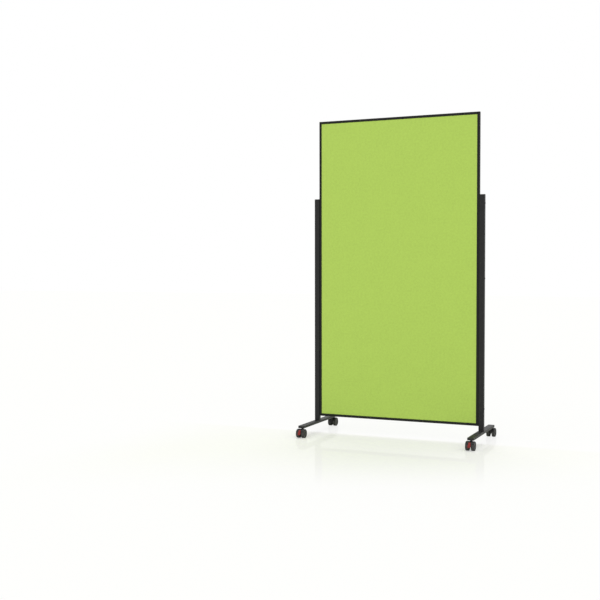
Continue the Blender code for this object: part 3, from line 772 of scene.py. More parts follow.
def at(place: Sequence[float] = NOWHERE, turn: Sequence[float] = NOWHERE) -> Matrix:
    """Give the matrix of a place and a turn.

    Args:
        place: where the origin goes.
        turn: degrees about X, Y and Z, in that order, before it goes there.

    Returns:
        The matrix.
    """
    matrix = Matrix.Identity(4)
    for angle, axis in zip(turn, "XYZ"):
        matrix = Matrix.Rotation(math.radians(angle), 4, axis) @ matrix
    return Matrix.Translation(place) @ matrix


def put(mesh: Mesh, place: Sequence[float] = NOWHERE, turn: Sequence[float] = NOWHERE) -> Mesh:
    """Turn a mesh by degrees about X, Y and Z in that order, then move it."""
    mesh.transform(at(place, turn))
    return mesh


def upright(mesh: Mesh, place: Sequence[float] = NOWHERE) -> Mesh:
    """Stand what was turned along X up along Z, then move it."""
    return put(mesh, place, UPRIGHT)


def added(name: str, data: bpy.types.ID) -> Object:
    """Add an object to the scene.

    Args:
        name: its name.
        data: its mesh, lamp or camera.

    Returns:
        The object.
    """
    made = bpy.data.objects.new(name, data)
    bpy.context.collection.objects.link(made)
    return made


def evaluated(mesh: Mesh, modifiers: dict[str, dict[str, Any]]) -> Mesh:
    """Run modifiers on a mesh.

    Args:
        mesh: the mesh, which is removed.
        modifiers: each modifier's settings, by its type and in order.

    Returns:
        The new mesh.
    """
    thing = added("bench", mesh)
    for kind, settings in modifiers.items():
        modifier = thing.modifiers.new(kind, kind)
        for key, value in settings.items():
            setattr(modifier, key, value)
    made = bpy.data.meshes.new_from_object(thing.evaluated_get(bpy.context.evaluated_depsgraph_get()))
    bpy.data.objects.remove(thing)
    bpy.data.meshes.remove(mesh)
    return made


def worked(mesh: Mesh, tools: Iterable[Mesh], cut: Cut = Cut.TAKE) -> Mesh:
    """Cut or join separate tools with the exact solver, all at once.

    Args:
        mesh: the mesh, which is removed.
        tools: closed solids that don't touch each other, which are removed too.
        cut: what is done with them.

    Returns:
        The new mesh.
    """
    bm = bmesh.new()
    for each in tools:
        bm.from_mesh(each)
        bpy.data.meshes.remove(each)
    data = closed_mesh(bm)
    tool = added("tool", data)
    made = evaluated(mesh, {"BOOLEAN": {"object": tool, "operation": cut.value, "solver": "EXACT"}})
    bpy.data.objects.remove(tool)
    bpy.data.meshes.remove(data)
    return smooth(made)


def moulded(mesh: Mesh, grid: float, keep: float, rounds: int) -> Mesh:
    """Soften a hard-edged solid on a grid in rounds, and keep a share of its fine faces."""
    return smooth(evaluated(mesh, {
        "REMESH": {"mode": "VOXEL", "voxel_size": grid},
        "SMOOTH": {"factor": 0.5, "iterations": rounds},
        "DECIMATE": {"ratio": keep}}), MOULDED_ANGLE)


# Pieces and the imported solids


def middle(node: str) -> Vector:
    """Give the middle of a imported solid's box."""
    low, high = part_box(node)
    return (low + high) / 2


def extent(node: str) -> Vector:
    """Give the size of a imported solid's box."""
    low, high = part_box(node)
    return high - low


def pivot(joint: str) -> Vector:
    """Give a joint's place."""
    return Vector(next(each["pos_m"] for each in frame["joints"] if each["name"] == joint))


def bolt_heights(side: Side, origin: float) -> list[float]:
    """List the heights of a side's bolts over a height."""
    return [middle(f"board_bolt_{side}_{level}").z - origin for level in Level]


def set_out(name: str, mesh: Mesh, finish: Material, node: str, place: Matrix | None = None) -> Object:
    """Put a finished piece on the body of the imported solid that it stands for.

    Args:
        name: the piece's name.
        mesh: its mesh, which is copied, so that pieces can share one.
        finish: its material.
        node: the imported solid's name.
        place: where the piece stands, if not in the middle of the solid's box.

    Returns:
        The object.
    """
    made = added(name, mesh.copy())
    made.data.name = name
    made.data.materials.clear()
    made.data.materials.append(finish)
    made.matrix_world = place or at(middle(node))
    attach(made, frame["nodes"][node]["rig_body"])
    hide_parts(node)
    log.info("%s: %d faces, stands for %s", name, len(made.data.polygons), node)
    return made


def repaint(finish: Material, *names: str) -> None:
    """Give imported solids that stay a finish.

    Args:
        finish: its material.
        names: the solids.
    """
    for name in names:
        data = frame["nodes"][name].data
        data.materials.clear()
        data.materials.append(finish)
        log.info("%s: kept, finished in %s", name, finish.name)


# The board


@dataclass
class Board:
    """The felt-faced board in its mitred channel."""

    face: float = 0.015
    web: float = 0.0014
    wall: float = 0.0014
    outer_corner: float = 0.0016
    lip_corner: float = 0.0005
    chamber: float = 0.0038
    rib: float = 0.0010
    rib_reach: float = 0.0025
    gap: float = 0.0003
    mitre_bevel: float = 0.0002
    hole_radius: float = 0.0033
    felt_cell: float = 0.006
    felt_rise: float = 0.0004
    felt_round: float = 0.0016
    nap: float = 0.00007
    nap_size: float = 0.028
    nap_waves: int = 24
    seed: int = 7
    key_grey: Triple = (0.55, 0.55, 0.56)
    key_gloss: float = 0.4

    def channel(self, depth: float) -> list[Point]:
        """Outline the channel as points of inset from its outer edge and depth.

        Args:
            depth: how deep it is from front to back.

        Returns:
            The outline, clockwise from the front lip.
        """
        half, inner = depth / 2, depth / 2 - self.wall
        rib_start, rib_end = self.web + self.chamber, self.web + self.chamber + self.rib
        outside = filleted([(self.face, -half), (0.0, -half), (0.0, half), (self.face, half)],
                           self.outer_corner, Corner.ROUND, closed=False)
        inside = [(self.face, inner), (rib_end, inner), (rib_end, inner - self.rib_reach),
                  (rib_start, inner - self.rib_reach), (rib_start, inner), (self.web, inner)]
        lip = filleted(outside[-2:] + inside[:2], self.lip_corner, Corner.FINE, closed=False)
        back = lip[1:-1] + inside[1:]
        return outside[1:-1] + back + [(x, -y) for x, y in reversed(back)]

    def rail(self, length: float, depth: float) -> Mesh:
        """Extrude the channel along X with finely bevelled mitres, its outer edge below.

        Args:
            length: the frame's length along the rail.
            depth: how deep the channel is from front to back.

        Returns:
            The mesh, round the middle of its box.
        """
        full, reach = self.channel(depth), (length - self.gap) / 2
        ends = [(shrunk(full, self.mitre_bevel), reach), (full, reach - self.mitre_bevel)]
        return skinned([[(side * (end - x), y, x - self.face / 2) for x, y in outline]
                        for side in SIGNS for outline, end in ends[::-side]])

    def felt_lines(self, length: float, free: float) -> np.ndarray:
        """List the grid lines along one side, close together where the felt leaves the frame.

        Args:
            length: the side's length.
            free: half the length that the frame leaves free.

        Returns:
            The lines, from end to end.
        """
        rim = free - self.felt_round * (1 - np.cos(np.linspace(0.0, math.pi / 2, Corner.EDGE + 1)))
        steps = round(2 * rim[-1] / self.felt_cell)
        return np.concatenate([[-length / 2], -rim[:-1], np.linspace(-rim[-1], rim[-1], steps + 1),
                               rim[-2::-1], [length / 2]])

    def felt(self, size: Vector, hidden: float, outward: int) -> Mesh:
        """Make a felt face round its own middle, whose nap is uneven in long waves that run every way.

        Args:
            size: its width, thickness and height.
            hidden: how far the frame covers each edge.
            outward: -1 if the nap faces -Y, 1 if it faces +Y.

        Returns:
            The mesh, whose free field rises out of the frame with a round edge.
        """
        free = (size.x / 2 - hidden, size.z / 2 - hidden)
        x, z = self.felt_lines(size.x, free[0]), self.felt_lines(size.z, free[1])
        inside = np.minimum.outer((free[0] - np.abs(x)).clip(0), (free[1] - np.abs(z)).clip(0))
        swell = np.sqrt(1 - (1 - (inside / self.felt_round).clip(0, 1)) ** 2)
        draws = np.random.default_rng(self.seed + outward).uniform(-math.pi, math.pi, (self.nap_waves, 3))
        waves = sum(np.cos(np.add.outer(across * x, up * z) / self.nap_size + start)
                    for across, up, start in draws) / math.sqrt(self.nap_waves)
        nap = self.nap * waves * (inside / self.nap_size).clip(0, 1) * swell
        front = outward * (size.y / 2 - self.felt_rise * (1 - swell) + nap)
        bm = bmesh.new()
        grid = [[bm.verts.new((x[i], front[i, j], z[j])) for j in range(len(z))] for i in range(len(x))]
        for left, right in zip(grid, grid[1:]):
            for j in range(len(z) - 1):
                bm.faces.new((left[j], right[j], right[j + 1], left[j + 1]))
        rim = [row[0] for row in grid] + grid[-1][1:] + [row[-1] for row in grid[-2::-1]] + grid[0][-2:0:-1]
        back = [bm.verts.new((vert.co.x, -outward * size.y / 2, vert.co.z)) for vert in rim]
        for i, vert in enumerate(rim):
            bm.faces.new((rim[i - 1], vert, back[i], back[i - 1]))
        bm.faces.new(back)
        return closed_mesh(bm)

    def build(self) -> None:
        """Dress the frame, the felt faces, the core and the corner keys."""
        left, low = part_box("frame_rail_left")[0].x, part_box("frame_rail_bottom")[0].z
        right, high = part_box("frame_rail_right")[1].x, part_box("frame_rail_top")[1].z
        depth = extent("frame_rail_bottom").y
        across, tall, centre, inset = right - left, high - low, (low + high) / 2, self.face / 2
        places = {"bottom": (across, at((0.0, 0.0, low + inset))),
                  "top": (across, at((0.0, 0.0, high - inset), (0, 180, 0))),
                  "left": (tall, at((left + inset, 0.0, centre), (0, -90, 180))),
                  "right": (tall, at((right - inset, 0.0, centre), UPRIGHT))}
        for name, (length, place) in places.items():
            mesh = self.rail(length, depth)
            if length == tall:
                mesh = worked(mesh, [
                    upright(rod(self.hole_radius, -OVERRUN, 2 * self.web, Facets.HOLE), (along, 0.0, -inset))
                    for along in bolt_heights(Side[name.upper()], centre)])
            finish = SatinChannel(f"frame_satin_black_{name}", (length / 2, depth / 2, inset)).material()
            set_out(f"frame_channel_{name}", mesh, finish, f"frame_rail_{name}", place)
        finish = NeedleFelt().material()
        for way in End:
            size = extent(f"felt_{way}")
            hidden = (size.x - across) / 2 + self.face + self.gap
            made = set_out(f"felt_sheet_{way}", self.felt(size, hidden, way.value), finish, f"felt_{way}")
        repaint(SoftFibreboard().material(), "board_core")
        repaint(PlatedSteel("key_aluminium", self.key_grey, self.key_gloss).material(),
                *[name for name in frame["nodes"] if name.startswith("corner_key")])


# The stand


@dataclass
class Posts:
    """The two upright tubes with their moulded caps and foot blocks."""

    wall: float = 0.0015
    corner: float = 0.0025
    edge: float = 0.0003
    hole_radius: float = 0.0033
    cap_edge: float = 0.0007
    cap_wall: float = 0.0016
    plug_corner: float = 0.0012
    fit: float = 0.0003
    skirt: float = 0.012
    grey: Triple = (0.014, 0.014, 0.0145)
    black: Triple = (0.019, 0.019, 0.020)
    cap_gloss: float = 0.46
    foot_zinc: Triple = (0.10, 0.10, 0.11)
    foot_gloss: float = 0.4

    def tube(self, size: Vector, holes: Sequence[float]) -> Mesh:
        """Make a tube round its middle, with a cross hole at each height.

        Args:
            size: its width, depth and height.
            holes: the heights over its middle.

        Returns:
            The mesh.
        """
        rings, reach = [], size.x / 2 + OVERRUN
        for side in SIGNS:
            for drop, inset in [(self.edge, 0.0), (0.0, self.edge), (0.0, self.wall)][::side]:
                outline = rectangle(size.x - 2 * inset, size.y - 2 * inset, self.corner - inset)
                rings.append([(x, y, side * (size.z / 2 - drop)) for x, y in outline])
        return worked(skinned(rings, loop=True), [
            put(rod(self.hole_radius, -reach, reach, Facets.HOLE), (0.0, 0.0, z)) for z in holes])

    def cap(self, size: Vector) -> Mesh:
        """Make a cap: a flange with a soft edge over a hollow skirt.

        Args:
            size: its width, depth and height.

        Returns:
            The mesh, round the middle of its box.
        """
        flange = size.z - self.skirt
        width, depth = (side - 2 * (self.wall + self.fit) for side in (size.x, size.y))
        top = rounded_slab((size.x, size.y, flange), self.corner, self.cap_edge)
        plug = rounded_slab((width, depth, self.skirt + self.edge), self.plug_corner, self.edge)
        hollow = rounded_slab((width - 2 * self.cap_wall, depth - 2 * self.cap_wall, self.skirt),
                              self.plug_corner, self.edge)
        put(top, (0.0, 0.0, (size.z - flange) / 2))
        put(plug, (0.0, 0.0, (self.edge - flange) / 2))
        put(hollow, (0.0, 0.0, -flange / 2 - self.fit))
        return worked(worked(top, [plug], Cut.FUSE), [hollow])

    def build(self) -> None:
        """Dress both posts."""
        coat = PowderCoat("post_charcoal_powder", self.grey, tuple(extent("post_right") / 2)).material()
        plastic = MouldedNylon("cap_black_plastic", self.black, self.cap_gloss).material()
        for side in Side:
            post, cap = f"post_{side}", f"post_cap_{side}"
            tube = self.tube(extent(post), bolt_heights(side, middle(post).z))
            set_out(f"upright_tube_{side}", tube, coat, post)
            set_out(f"tube_cap_{side}", self.cap(extent(cap)), plastic, cap)
        repaint(PlatedSteel("foot_block_black_zinc", self.foot_zinc, self.foot_gloss).material(),
                "post_foot_left", "post_foot_right")


@dataclass
class BaseBars:
    """The two flat bars that the posts stand on."""

    corner: float = 0.004
    edge: float = 0.0012
    screw_pitch: float = 0.015
    screw_hole: float = 0.0033
    head_radius: float = 0.0061
    recess: float = 0.0005
    head_depth: float = 0.0030
    stem_hole: float = 0.0053
    stem_depth: float = 0.0113
    grey: Triple = (0.022, 0.022, 0.022)
    gloss: float = 0.46

    def bar(self, size: Vector, stem_reach: float) -> Mesh:
        """Make a bar, countersunk for the screws and bored for the stems.

        Args:
            size: its width, length and height.
            stem_reach: how far the stems stand from its middle.

        Returns:
            The mesh, round its middle.
        """
        floor, top = -size.z / 2, size.z / 2 + OVERRUN
        below, seat = floor - OVERRUN, floor + self.recess
        sink = [(below, 0.0), (below, self.head_radius), (seat, self.head_radius),
                (seat + self.head_depth, self.screw_hole), (top, self.screw_hole), (top, 0.0)]
        sinks = [upright(turned(sink, Facets.BORE), (sign * self.screw_pitch / 2, 0.0, 0.0))
                 for sign in SIGNS]
        bores = [upright(rod(self.stem_hole, below, floor + self.stem_depth, Facets.BORE),
                         (0.0, sign * stem_reach, 0.0)) for sign in SIGNS]
        return worked(rounded_slab(size, self.corner, self.edge), sinks + bores)

    def build(self) -> None:
        """Dress both bars."""
        half = tuple(extent("base_bar_right") / 2)
        coat = PowderCoat("bar_charcoal_powder", self.grey, half, self.gloss).material()
        for side in Side:
            node = f"base_bar_{side}"
            mesh = self.bar(extent(node), abs(pivot(f"swivel_front_{side}").y))
            set_out(f"foot_bar_{side}", mesh, coat, node)


@dataclass
class Fasteners:
    """The button-head bolts in the posts and the countersunk screws in the bars."""

    radius: float = 0.003
    tip: float = 0.0004
    head_radius: float = 0.0055
    head_height: float = 0.0030
    head_rim: float = 0.0008
    crown: float = 0.60
    dome: float = 0.0016
    socket: float = 0.0021
    socket_depth: float = 0.0018
    sink_radius: float = 0.0058
    sink_depth: float = 0.0030
    sink_rim: float = 0.0003
    zinc: Triple = (0.07, 0.07, 0.075)
    gloss: float = 0.34

    def key_socket(self, opening: float) -> Mesh:
        """Make the tool that cuts a hexagon socket into a face at x = opening."""
        return rod(self.socket, opening - self.socket_depth, opening + OVERRUN, Facets.HEXAGON)

    def bolt(self, length: float) -> Mesh:
        """Make a button-head bolt along X.

        Args:
            length: its length over all.

        Returns:
            The mesh, its head outside x = 0 and its shank inside.
        """
        end = self.head_height - length
        dome = filleted([(0.0, self.head_radius), (self.head_rim, self.head_radius),
                         (self.head_height, self.head_radius * self.crown), (self.head_height, 0.0)],
                        self.dome, Corner.ROUND, closed=False)
        profile = [(end, 0.0), (end, self.radius - self.tip), (end + self.tip, self.radius),
                   (0.0, self.radius), *dome]
        return worked(turned(profile, Facets.PIN), [self.key_socket(self.head_height)])

    def screw(self, length: float) -> Mesh:
        """Make a countersunk screw of a length along X, its head's face on x = 0."""
        profile = [(0.0, 0.0), (0.0, self.sink_radius - self.sink_rim), (self.sink_rim, self.sink_radius),
                   (self.sink_depth, self.radius), (length - self.tip, self.radius),
                   (length, self.radius - self.tip), (length, 0.0)]
        return worked(turned(profile, Facets.PIN), [put(self.key_socket(0.0), turn=HALF_TURN)])

    def build(self) -> None:
        """Dress every bolt and screw."""
        zinc = PlatedSteel("fastener_black_zinc", self.zinc, self.gloss).material()
        for side in Side:
            for level in Level:
                node = f"board_bolt_{side}_{level}"
                size, place = extent(node), middle(node)
                place.x += side.value * (size.x / 2 - self.head_height)
                set_out(f"button_bolt_{side}_{level}", self.bolt(size.x), zinc, node,
                        at(place, NOWHERE if side is Side.RIGHT else HALF_TURN))
            for number in (1, 2):
                node = f"foot_screw_{side}_{number}"
                place = middle(node)
                place.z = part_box(node)[0].z
                set_out(f"sunk_screw_{side}_{number}", self.screw(extent(node).z), zinc, node,
                        at(place, UPRIGHT))


# The casters; an upright plane through the axle has (outward, up) points from the axle


@dataclass
class Caster:
    """A twin-wheel caster round its swivel axis, with its brake pedal where it has one.

    Angles are degrees round the axle, from the trailing side upward. A moulding is the cell
    that it is softened on, the share of its faces that stays, and how often it is relaxed.
    """

    radius: float = 0.025
    wheel_width: float = 0.0185
    width: float = 0.051
    trail: float = 0.018
    gap: float = 0.0005
    seat: float = 0.0003
    sweep: int = 40
    steps: int = 24
    # tyre
    tyre: float = 0.0028
    crown: float = 0.0004
    shoulder: float = 0.0026
    flat: Point = (0.003, 0.00010)
    parting: Point = (0.0003, 0.00008)
    # wheel
    hub_inset: float = 0.0003
    hub_rim: float = 0.0018
    disc: float = 0.0026
    dish: float = 0.0018
    dish_band: float = 0.0030
    groove: Point = (0.0090, 0.0148)
    groove_depth: float = 0.0006
    boss_radius: float = 0.0062
    cap_radius: float = 0.0070
    cap_slope: float = 0.0014
    cap_rise: float = 0.0012
    ribs: int = 8
    rib: float = 0.0012
    # axle and stem
    axle_radius: float = 0.003
    axle_bevel: float = 0.0004
    stem_radius: float = 0.004
    stem_reach: float = 0.029
    stem_tip: float = 0.0010
    collar_radius: float = 0.0125
    collar_height: float = 0.0032
    collar_bevel: float = 0.0009
    thread_radius: float = 0.005
    thread_length: float = 0.0110
    thread_pitch: float = 0.0007
    thread_depth: float = 0.0004
    # hood
    hood_gap: float = 0.0012
    hood_wall: float = 0.0020
    roof_arc: Point = (30.0, 160.0)
    edge_drop: float = 0.0022
    edge_band: float = 0.0042
    edge_bevel: float = 0.0005
    keel_front: float = 22.0
    boss: float = 0.0065
    boss_arc: Point = (-30.0, -120.0)
    socket_wall: float = 0.0022
    socket_drop: float = 0.003
    socket_bevel: float = 0.0008
    cheek: float = 0.0018
    pocket_gap: float = 0.0035
    pocket_arc: Point = (-12.0, 70.0)
    hood_moulding: tuple[float, float, int] = (0.00030, 0.22, 4)
    # brake pedal
    pivot_inset: float = 0.0065
    pivot_angle: float = 50.0
    pivot_radius: float = 0.0020
    knuckle: float = 0.0048
    tongue_arc: Point = (48.0, -2.0)
    tongue_gap: Point = (0.0060, 0.0092)
    tongue_width: Point = (0.0110, 0.0160)
    tongue_thickness: float = 0.0026
    web_arc: Point = (24.0, 45.0)
    lip: float = 0.0030
    lip_shares: Triple = (0.34, 0.67, 1.0)
    grip: float = 0.0005
    grip_margin: float = 0.0018
    grip_span: Point = (0.30, 0.92)
    grip_pitch: float = 46.0
    grip_level: float = 0.2
    shoe_arc: Point = (-1.0, 10.0)
    shoe_lap: Point = (0.0028, 0.0013)
    travel: float = 15.0
    pedal_moulding: tuple[float, float, int] = (0.00022, 0.30, 3)

    def __post_init__(self) -> None:
        """Work out the sizes that several pieces share."""
        self.hood_outer = self.radius + self.hood_gap + self.hood_wall
        self.hub_radius = self.radius - self.tyre - self.seat
        self.hub_half = self.wheel_width / 2 - self.hub_inset
        self.disc_back = self.hub_half - self.dish - self.disc
        self.space = self.width - 2 * self.wheel_width
        self.keel = self.space - 2 * self.gap
        self.pocket = self.keel - 2 * self.cheek
        self.socket = self.stem_radius + self.seat + self.socket_wall
        self.pivot = self.polar(self.radius - self.pivot_inset, self.pivot_angle)

    @staticmethod
    def polar(radius: float, angle: float) -> Point:
        """Give the (outward, up) point at a radius and an angle round the axle."""
        return radius * math.cos(math.radians(angle)), radius * math.sin(math.radians(angle))

    @staticmethod
    def band(inner: float, outer: float, angles: Point, steps: int) -> list[Point]:
        """Outline a band round the axle between two radii and two angles."""
        return arc(AXLE, outer, *angles, steps) + arc(AXLE, inner, *reversed(angles), steps)

    def plane(self, points: Iterable[Point]) -> list[Point]:
        """Turn (outward, up) points into (y, z) points round the swivel."""
        return [(-self.trail - out, self.radius + up) for out, up in points]

    def pedal_plane(self, points: Iterable[Point]) -> list[Point]:
        """Turn (outward, up) points into (y, z) points round the pedal's pivot."""
        return [(self.pivot[0] - out, up - self.pivot[1]) for out, up in points]

    def tyre_mesh(self) -> Mesh:
        """Turn the tyre: a crowned tread with round shoulders and a fine parting line.

        Returns:
            The mesh, round the wheel's middle.
        """
        half, inner = self.wheel_width / 2, self.radius - self.tyre
        right = filleted([(half, inner), (half, self.radius - self.crown),
                          (self.flat[0], self.radius - self.flat[1])],
                         self.shoulder, Corner.FULL, closed=False)
        right += [(self.parting[0], self.radius - self.parting[1]), (self.parting[0] / 3, self.radius)]
        return turned(right + [(-x, r) for x, r in reversed(right)], Facets.WHEEL, closed=True)

    def wheel_mesh(self) -> Mesh:
        """Turn the wheel: dished and grooved outside, ribbed and open inside.

        Returns:
            The mesh, round its own middle, its outer face towards +X.
        """
        half, back, bore = self.hub_half, self.disc_back, self.axle_radius + self.seat
        face, rim = half - self.dish, self.hub_radius - self.hub_rim
        (start, end), sunk = self.groove, self.groove_depth
        profile = [(face + self.cap_rise, 0.0), (face + self.cap_rise, self.cap_radius - self.cap_slope),
                   (face, self.cap_radius), (face, start), (face - sunk, start + sunk),
                   (face - sunk, end - sunk), (face, end), (face, rim - self.dish_band),
                   (half, rim), (half, self.hub_radius), (-half, self.hub_radius), (-half, rim),
                   (back, rim), (back, self.boss_radius), (-half, self.boss_radius), (-half, bore),
                   (back, bore), (back, 0.0)]
        mesh = turned(filleted(profile, sunk, Corner.FINE, closed=False), Facets.WHEEL)
        depth, x = half + back - self.rib, self.rib / 2
        low, high = self.boss_radius - self.seat, rim + self.seat
        tall = [(-x, low), (x, low), (x, high), (-x, high)]
        return worked(mesh, [
            put(prism(tall, depth, back + self.seat - depth / 2),
                turn=(360 * (number + 0.5) / self.ribs, 0.0, 0.0))
            for number in range(self.ribs)], Cut.FUSE)

    def axle_mesh(self) -> Mesh:
        """Make the axle pin with bevelled ends."""
        reach = (self.width - self.wheel_width) / 2 + self.disc_back - self.seat
        return rod(self.axle_radius, -reach, reach, Facets.PIN, self.axle_bevel)

    def stem_mesh(self) -> Mesh:
        """Make the stem: grip pin, bevelled hexagon collar and thread.

        Returns:
            The mesh, upright, with z = 0 at the bar.
        """
        low = -self.seat - self.collar_height
        end, groove = low - self.stem_reach, self.thread_radius - self.thread_depth
        crests = [(self.thread_pitch / 2 * step, groove if step % 2 else self.thread_radius)
                  for step in range(1, 2 * int((self.thread_length - self.stem_tip) / self.thread_pitch) + 1)]
        profile = [(end, 0.0), (end, self.stem_radius - self.stem_tip),
                   (end + self.stem_tip, self.stem_radius), (low / 2, self.stem_radius),
                   (low / 2, self.thread_radius), *crests, (self.thread_length, groove),
                   (self.thread_length, 0.0)]
        bevel = rod(self.collar_radius - self.seat, low, -self.seat, Facets.BEVEL, self.collar_bevel)
        collar = worked(rod(self.collar_radius, low, -self.seat, Facets.HEXAGON), [bevel], Cut.KEEP)
        return upright(worked(turned(profile, Facets.PIN), [collar], Cut.FUSE))

    def roof_mesh(self) -> Mesh:
        """Sweep the hood's roof over the wheels, drawn down at both edges.

        Returns:
            The mesh, round the swivel.
        """
        half, drop, bevel = self.width / 2, self.edge_drop, self.edge_bevel
        shoulder = half - self.edge_band
        top = [(-half, -drop), (bevel - half, bevel - drop), (-shoulder, 0.0), (shoulder, 0.0),
               (half - bevel, bevel - drop), (half, -drop)]
        section = filleted(top + [(x, rise - self.hood_wall) for x, rise in reversed(top)], self.hood_wall)
        rings = []
        for angle in np.linspace(*self.roof_arc, self.sweep + 1):
            points = self.plane(self.polar(self.hood_outer + rise, angle) for _, rise in section)
            rings.append([(x, *point) for (x, _), point in zip(section, points)])
        return skinned(rings)

    def hood_mesh(self, braked: bool, top: float) -> Mesh:
        """Make the hood: roof, keel, stem socket and bores, and the pedal's pocket if braked.

        Args:
            braked: whether it carries a pedal.
            top: the height of the stem socket's top.

        Returns:
            The softened mesh, round the swivel.
        """
        centre, back = self.hood_outer - self.hood_wall / 2, -self.trail - self.socket / 2
        outline = [*arc(AXLE, centre, math.degrees(math.acos(back / centre)), self.keel_front, self.sweep),
                   *arc(AXLE, self.boss, *self.boss_arc, self.steps // 2),
                   (self.socket / 2 - self.trail, -self.socket_drop), (back, -self.socket_drop)]
        turret = rod(self.socket, self.radius - self.socket_drop, top, Facets.TURRET, self.socket_bevel)
        reach = self.keel / 2 + self.trail
        stem = rod(self.stem_radius + self.seat, top - self.stem_reach, top + self.trail, Facets.PIN)
        axle = rod(self.axle_radius + self.seat, -reach, reach, Facets.PIN)
        work = [(prism(self.plane(outline), self.keel), Cut.FUSE), (upright(turret), Cut.FUSE),
                (upright(stem), Cut.TAKE), (put(axle, (0.0, -self.trail, self.radius)), Cut.TAKE)]
        if braked:
            pocket = self.band(self.boss + self.pocket_gap, self.hood_outer + OVERRUN, self.pocket_arc,
                               self.steps)
            trunnion = rod(self.pivot_radius + self.seat, -reach, reach, Facets.BORE)
            (y, z), = self.plane([self.pivot])
            work += [(prism(self.plane(pocket), self.pocket), Cut.TAKE),
                     (put(trunnion, (0.0, y, z)), Cut.TAKE)]
        mesh = self.roof_mesh()
        for part, cut in work:
            mesh = worked(mesh, [part], cut)
        return moulded(mesh, *self.hood_moulding)

    def tongue_mesh(self) -> Mesh:
        """Sweep the tongue, which widens downward to a turned-out lip, with grip ribs across it.

        Returns:
            The mesh, round the pedal's pivot.
        """
        steps, rings = 2 * self.sweep, []
        gaps, angles = (np.linspace(*ends, steps + 1) for ends in (self.tongue_gap, self.tongue_arc))
        line = [Vector(self.polar(self.radius + gap, angle)) for gap, angle in zip(gaps, angles)]
        line += [line[-1] + Vector((self.lip, -self.lip / 2)) * share for share in self.lip_shares]
        for number, point in enumerate(line):
            ahead = line[min(number + 1, len(line) - 1)] - line[max(number - 1, 0)]
            across = Vector((-ahead.y, ahead.x)).normalized()
            part = min(number / steps, 1.0)
            ease = part * part * (3 - 2 * part)
            half = (self.tongue_width[0] * (1 - ease) + self.tongue_width[1] * ease) / 2
            raised = (self.grip_span[0] < part < self.grip_span[1]
                      and math.sin(part * self.grip_pitch) > self.grip_level)
            thick, inner = self.tongue_thickness / 2, half - self.grip_margin
            top = thick + (self.grip if raised else 0.0)
            right = [(half, thick), (half, -thick), (inner, -thick), (inner, -top)]
            section = [(-x, rise) for x, rise in right] + right[::-1]
            points = self.pedal_plane(point + across * -rise for _, rise in section)
            rings.append([(x, *place) for (x, _), place in zip(section, points)])
        return skinned(rings)

    def shoe(self, side: int) -> Mesh:
        """Make one brake shoe, which meets a tyre's tread when the pedal is down.

        Args:
            side: the sign of its X.

        Returns:
            The mesh, round the pedal's pivot.
        """
        outer = self.radius + self.tongue_gap[0] - self.tongue_thickness / 2
        band = self.band(self.radius - self.crown + self.seat, outer, self.shoe_arc, self.steps // 3)
        inside, outside = self.space / 2 - self.shoe_lap[0], self.space / 2 + self.shoe_lap[1]
        mesh = prism(self.pedal_plane(band), outside - inside, side * (inside + outside) / 2)
        return put(mesh, turn=(-self.travel, 0.0, 0.0))

    def pedal_mesh(self) -> Mesh:
        """Make the brake pedal: tongue, knuckle, trunnions and shoes.

        Returns:
            The softened mesh, round the pedal's pivot.
        """
        knuckle = arc(self.pivot, self.knuckle, self.pivot_angle + 90, self.pivot_angle + 270, self.steps)
        knuckle += [self.polar(self.radius + self.tongue_gap[1] - self.tongue_thickness, self.web_arc[0]),
                    self.polar(self.radius + self.tongue_gap[0], self.web_arc[1])]
        half, mesh = self.keel / 2 - self.seat, self.tongue_mesh()
        for part in (prism(self.pedal_plane(knuckle), self.pocket - 2 * self.seat),
                     rod(self.pivot_radius, -half, half, Facets.BORE), *map(self.shoe, SIGNS)):
            mesh = worked(mesh, [part], Cut.FUSE)
        return moulded(mesh, *self.pedal_moulding)


@dataclass
class Casters:
    """The four casters, braked at the front."""

    make: Caster
    black: Triple = (0.018, 0.018, 0.019)
    hub_tone: float = 1.15
    hub_gloss: float = 0.36
    red: Triple = (0.235, 0.020, 0.018)
    zinc: Triple = (0.060, 0.060, 0.064)
    zinc_gloss: float = 0.36

    def build(self) -> None:
        """Make each mesh and finish once, and dress every caster with them."""
        make = self.make
        nylon = MouldedNylon("hood_black_nylon", self.black).material()
        hub = MouldedNylon("wheel_black_nylon", shade(self.black, self.hub_tone), self.hub_gloss).material()
        rubber = TreadRubber("tyre_soft_rubber", make.radius).material()
        zinc = PlatedSteel("caster_black_zinc", self.zinc, self.zinc_gloss).material()
        red = MouldedNylon("pedal_red_nylon", self.red).material()
        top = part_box("hood_front_right")[1].z
        hoods = {end: make.hood_mesh(end is End.FRONT, top) for end in End}
        tyre, wheel, axle, stem = make.tyre_mesh(), make.wheel_mesh(), make.axle_mesh(), make.stem_mesh()
        pedal = make.pedal_mesh()
        for end, side in product(End, Side):
            name = f"{end}_{side}"
            x, y, _ = pivot(f"swivel_{name}")
            set_out(f"caster_hood_{name}", hoods[end], nylon, f"hood_{name}",
                    at((x, y, 0.0), NOWHERE if end is End.FRONT else HALF_TURN))
            set_out(f"caster_stem_{name}", stem, zinc, f"stem_{name}",
                    at((x, y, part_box(f"base_bar_{side}")[0].z)))
            set_out(f"caster_axle_{name}", axle, zinc, f"axle_{name}")
            for hand in Hand:
                roller = f"{name}_{hand}"
                place = at(pivot(f"roll_{roller}"), NOWHERE if hand.value == side.value else HALF_TURN)
                set_out(f"caster_wheel_{roller}", wheel, hub, f"wheel_{roller}", place)
                set_out(f"caster_tyre_{roller}", tyre, rubber, f"tyre_{roller}", place)
            if end is End.FRONT:
                set_out(f"foot_pedal_{side}", pedal, red, f"brake_pedal_{side}",
                        at(pivot(f"brake_press_{side}")))


# The studio


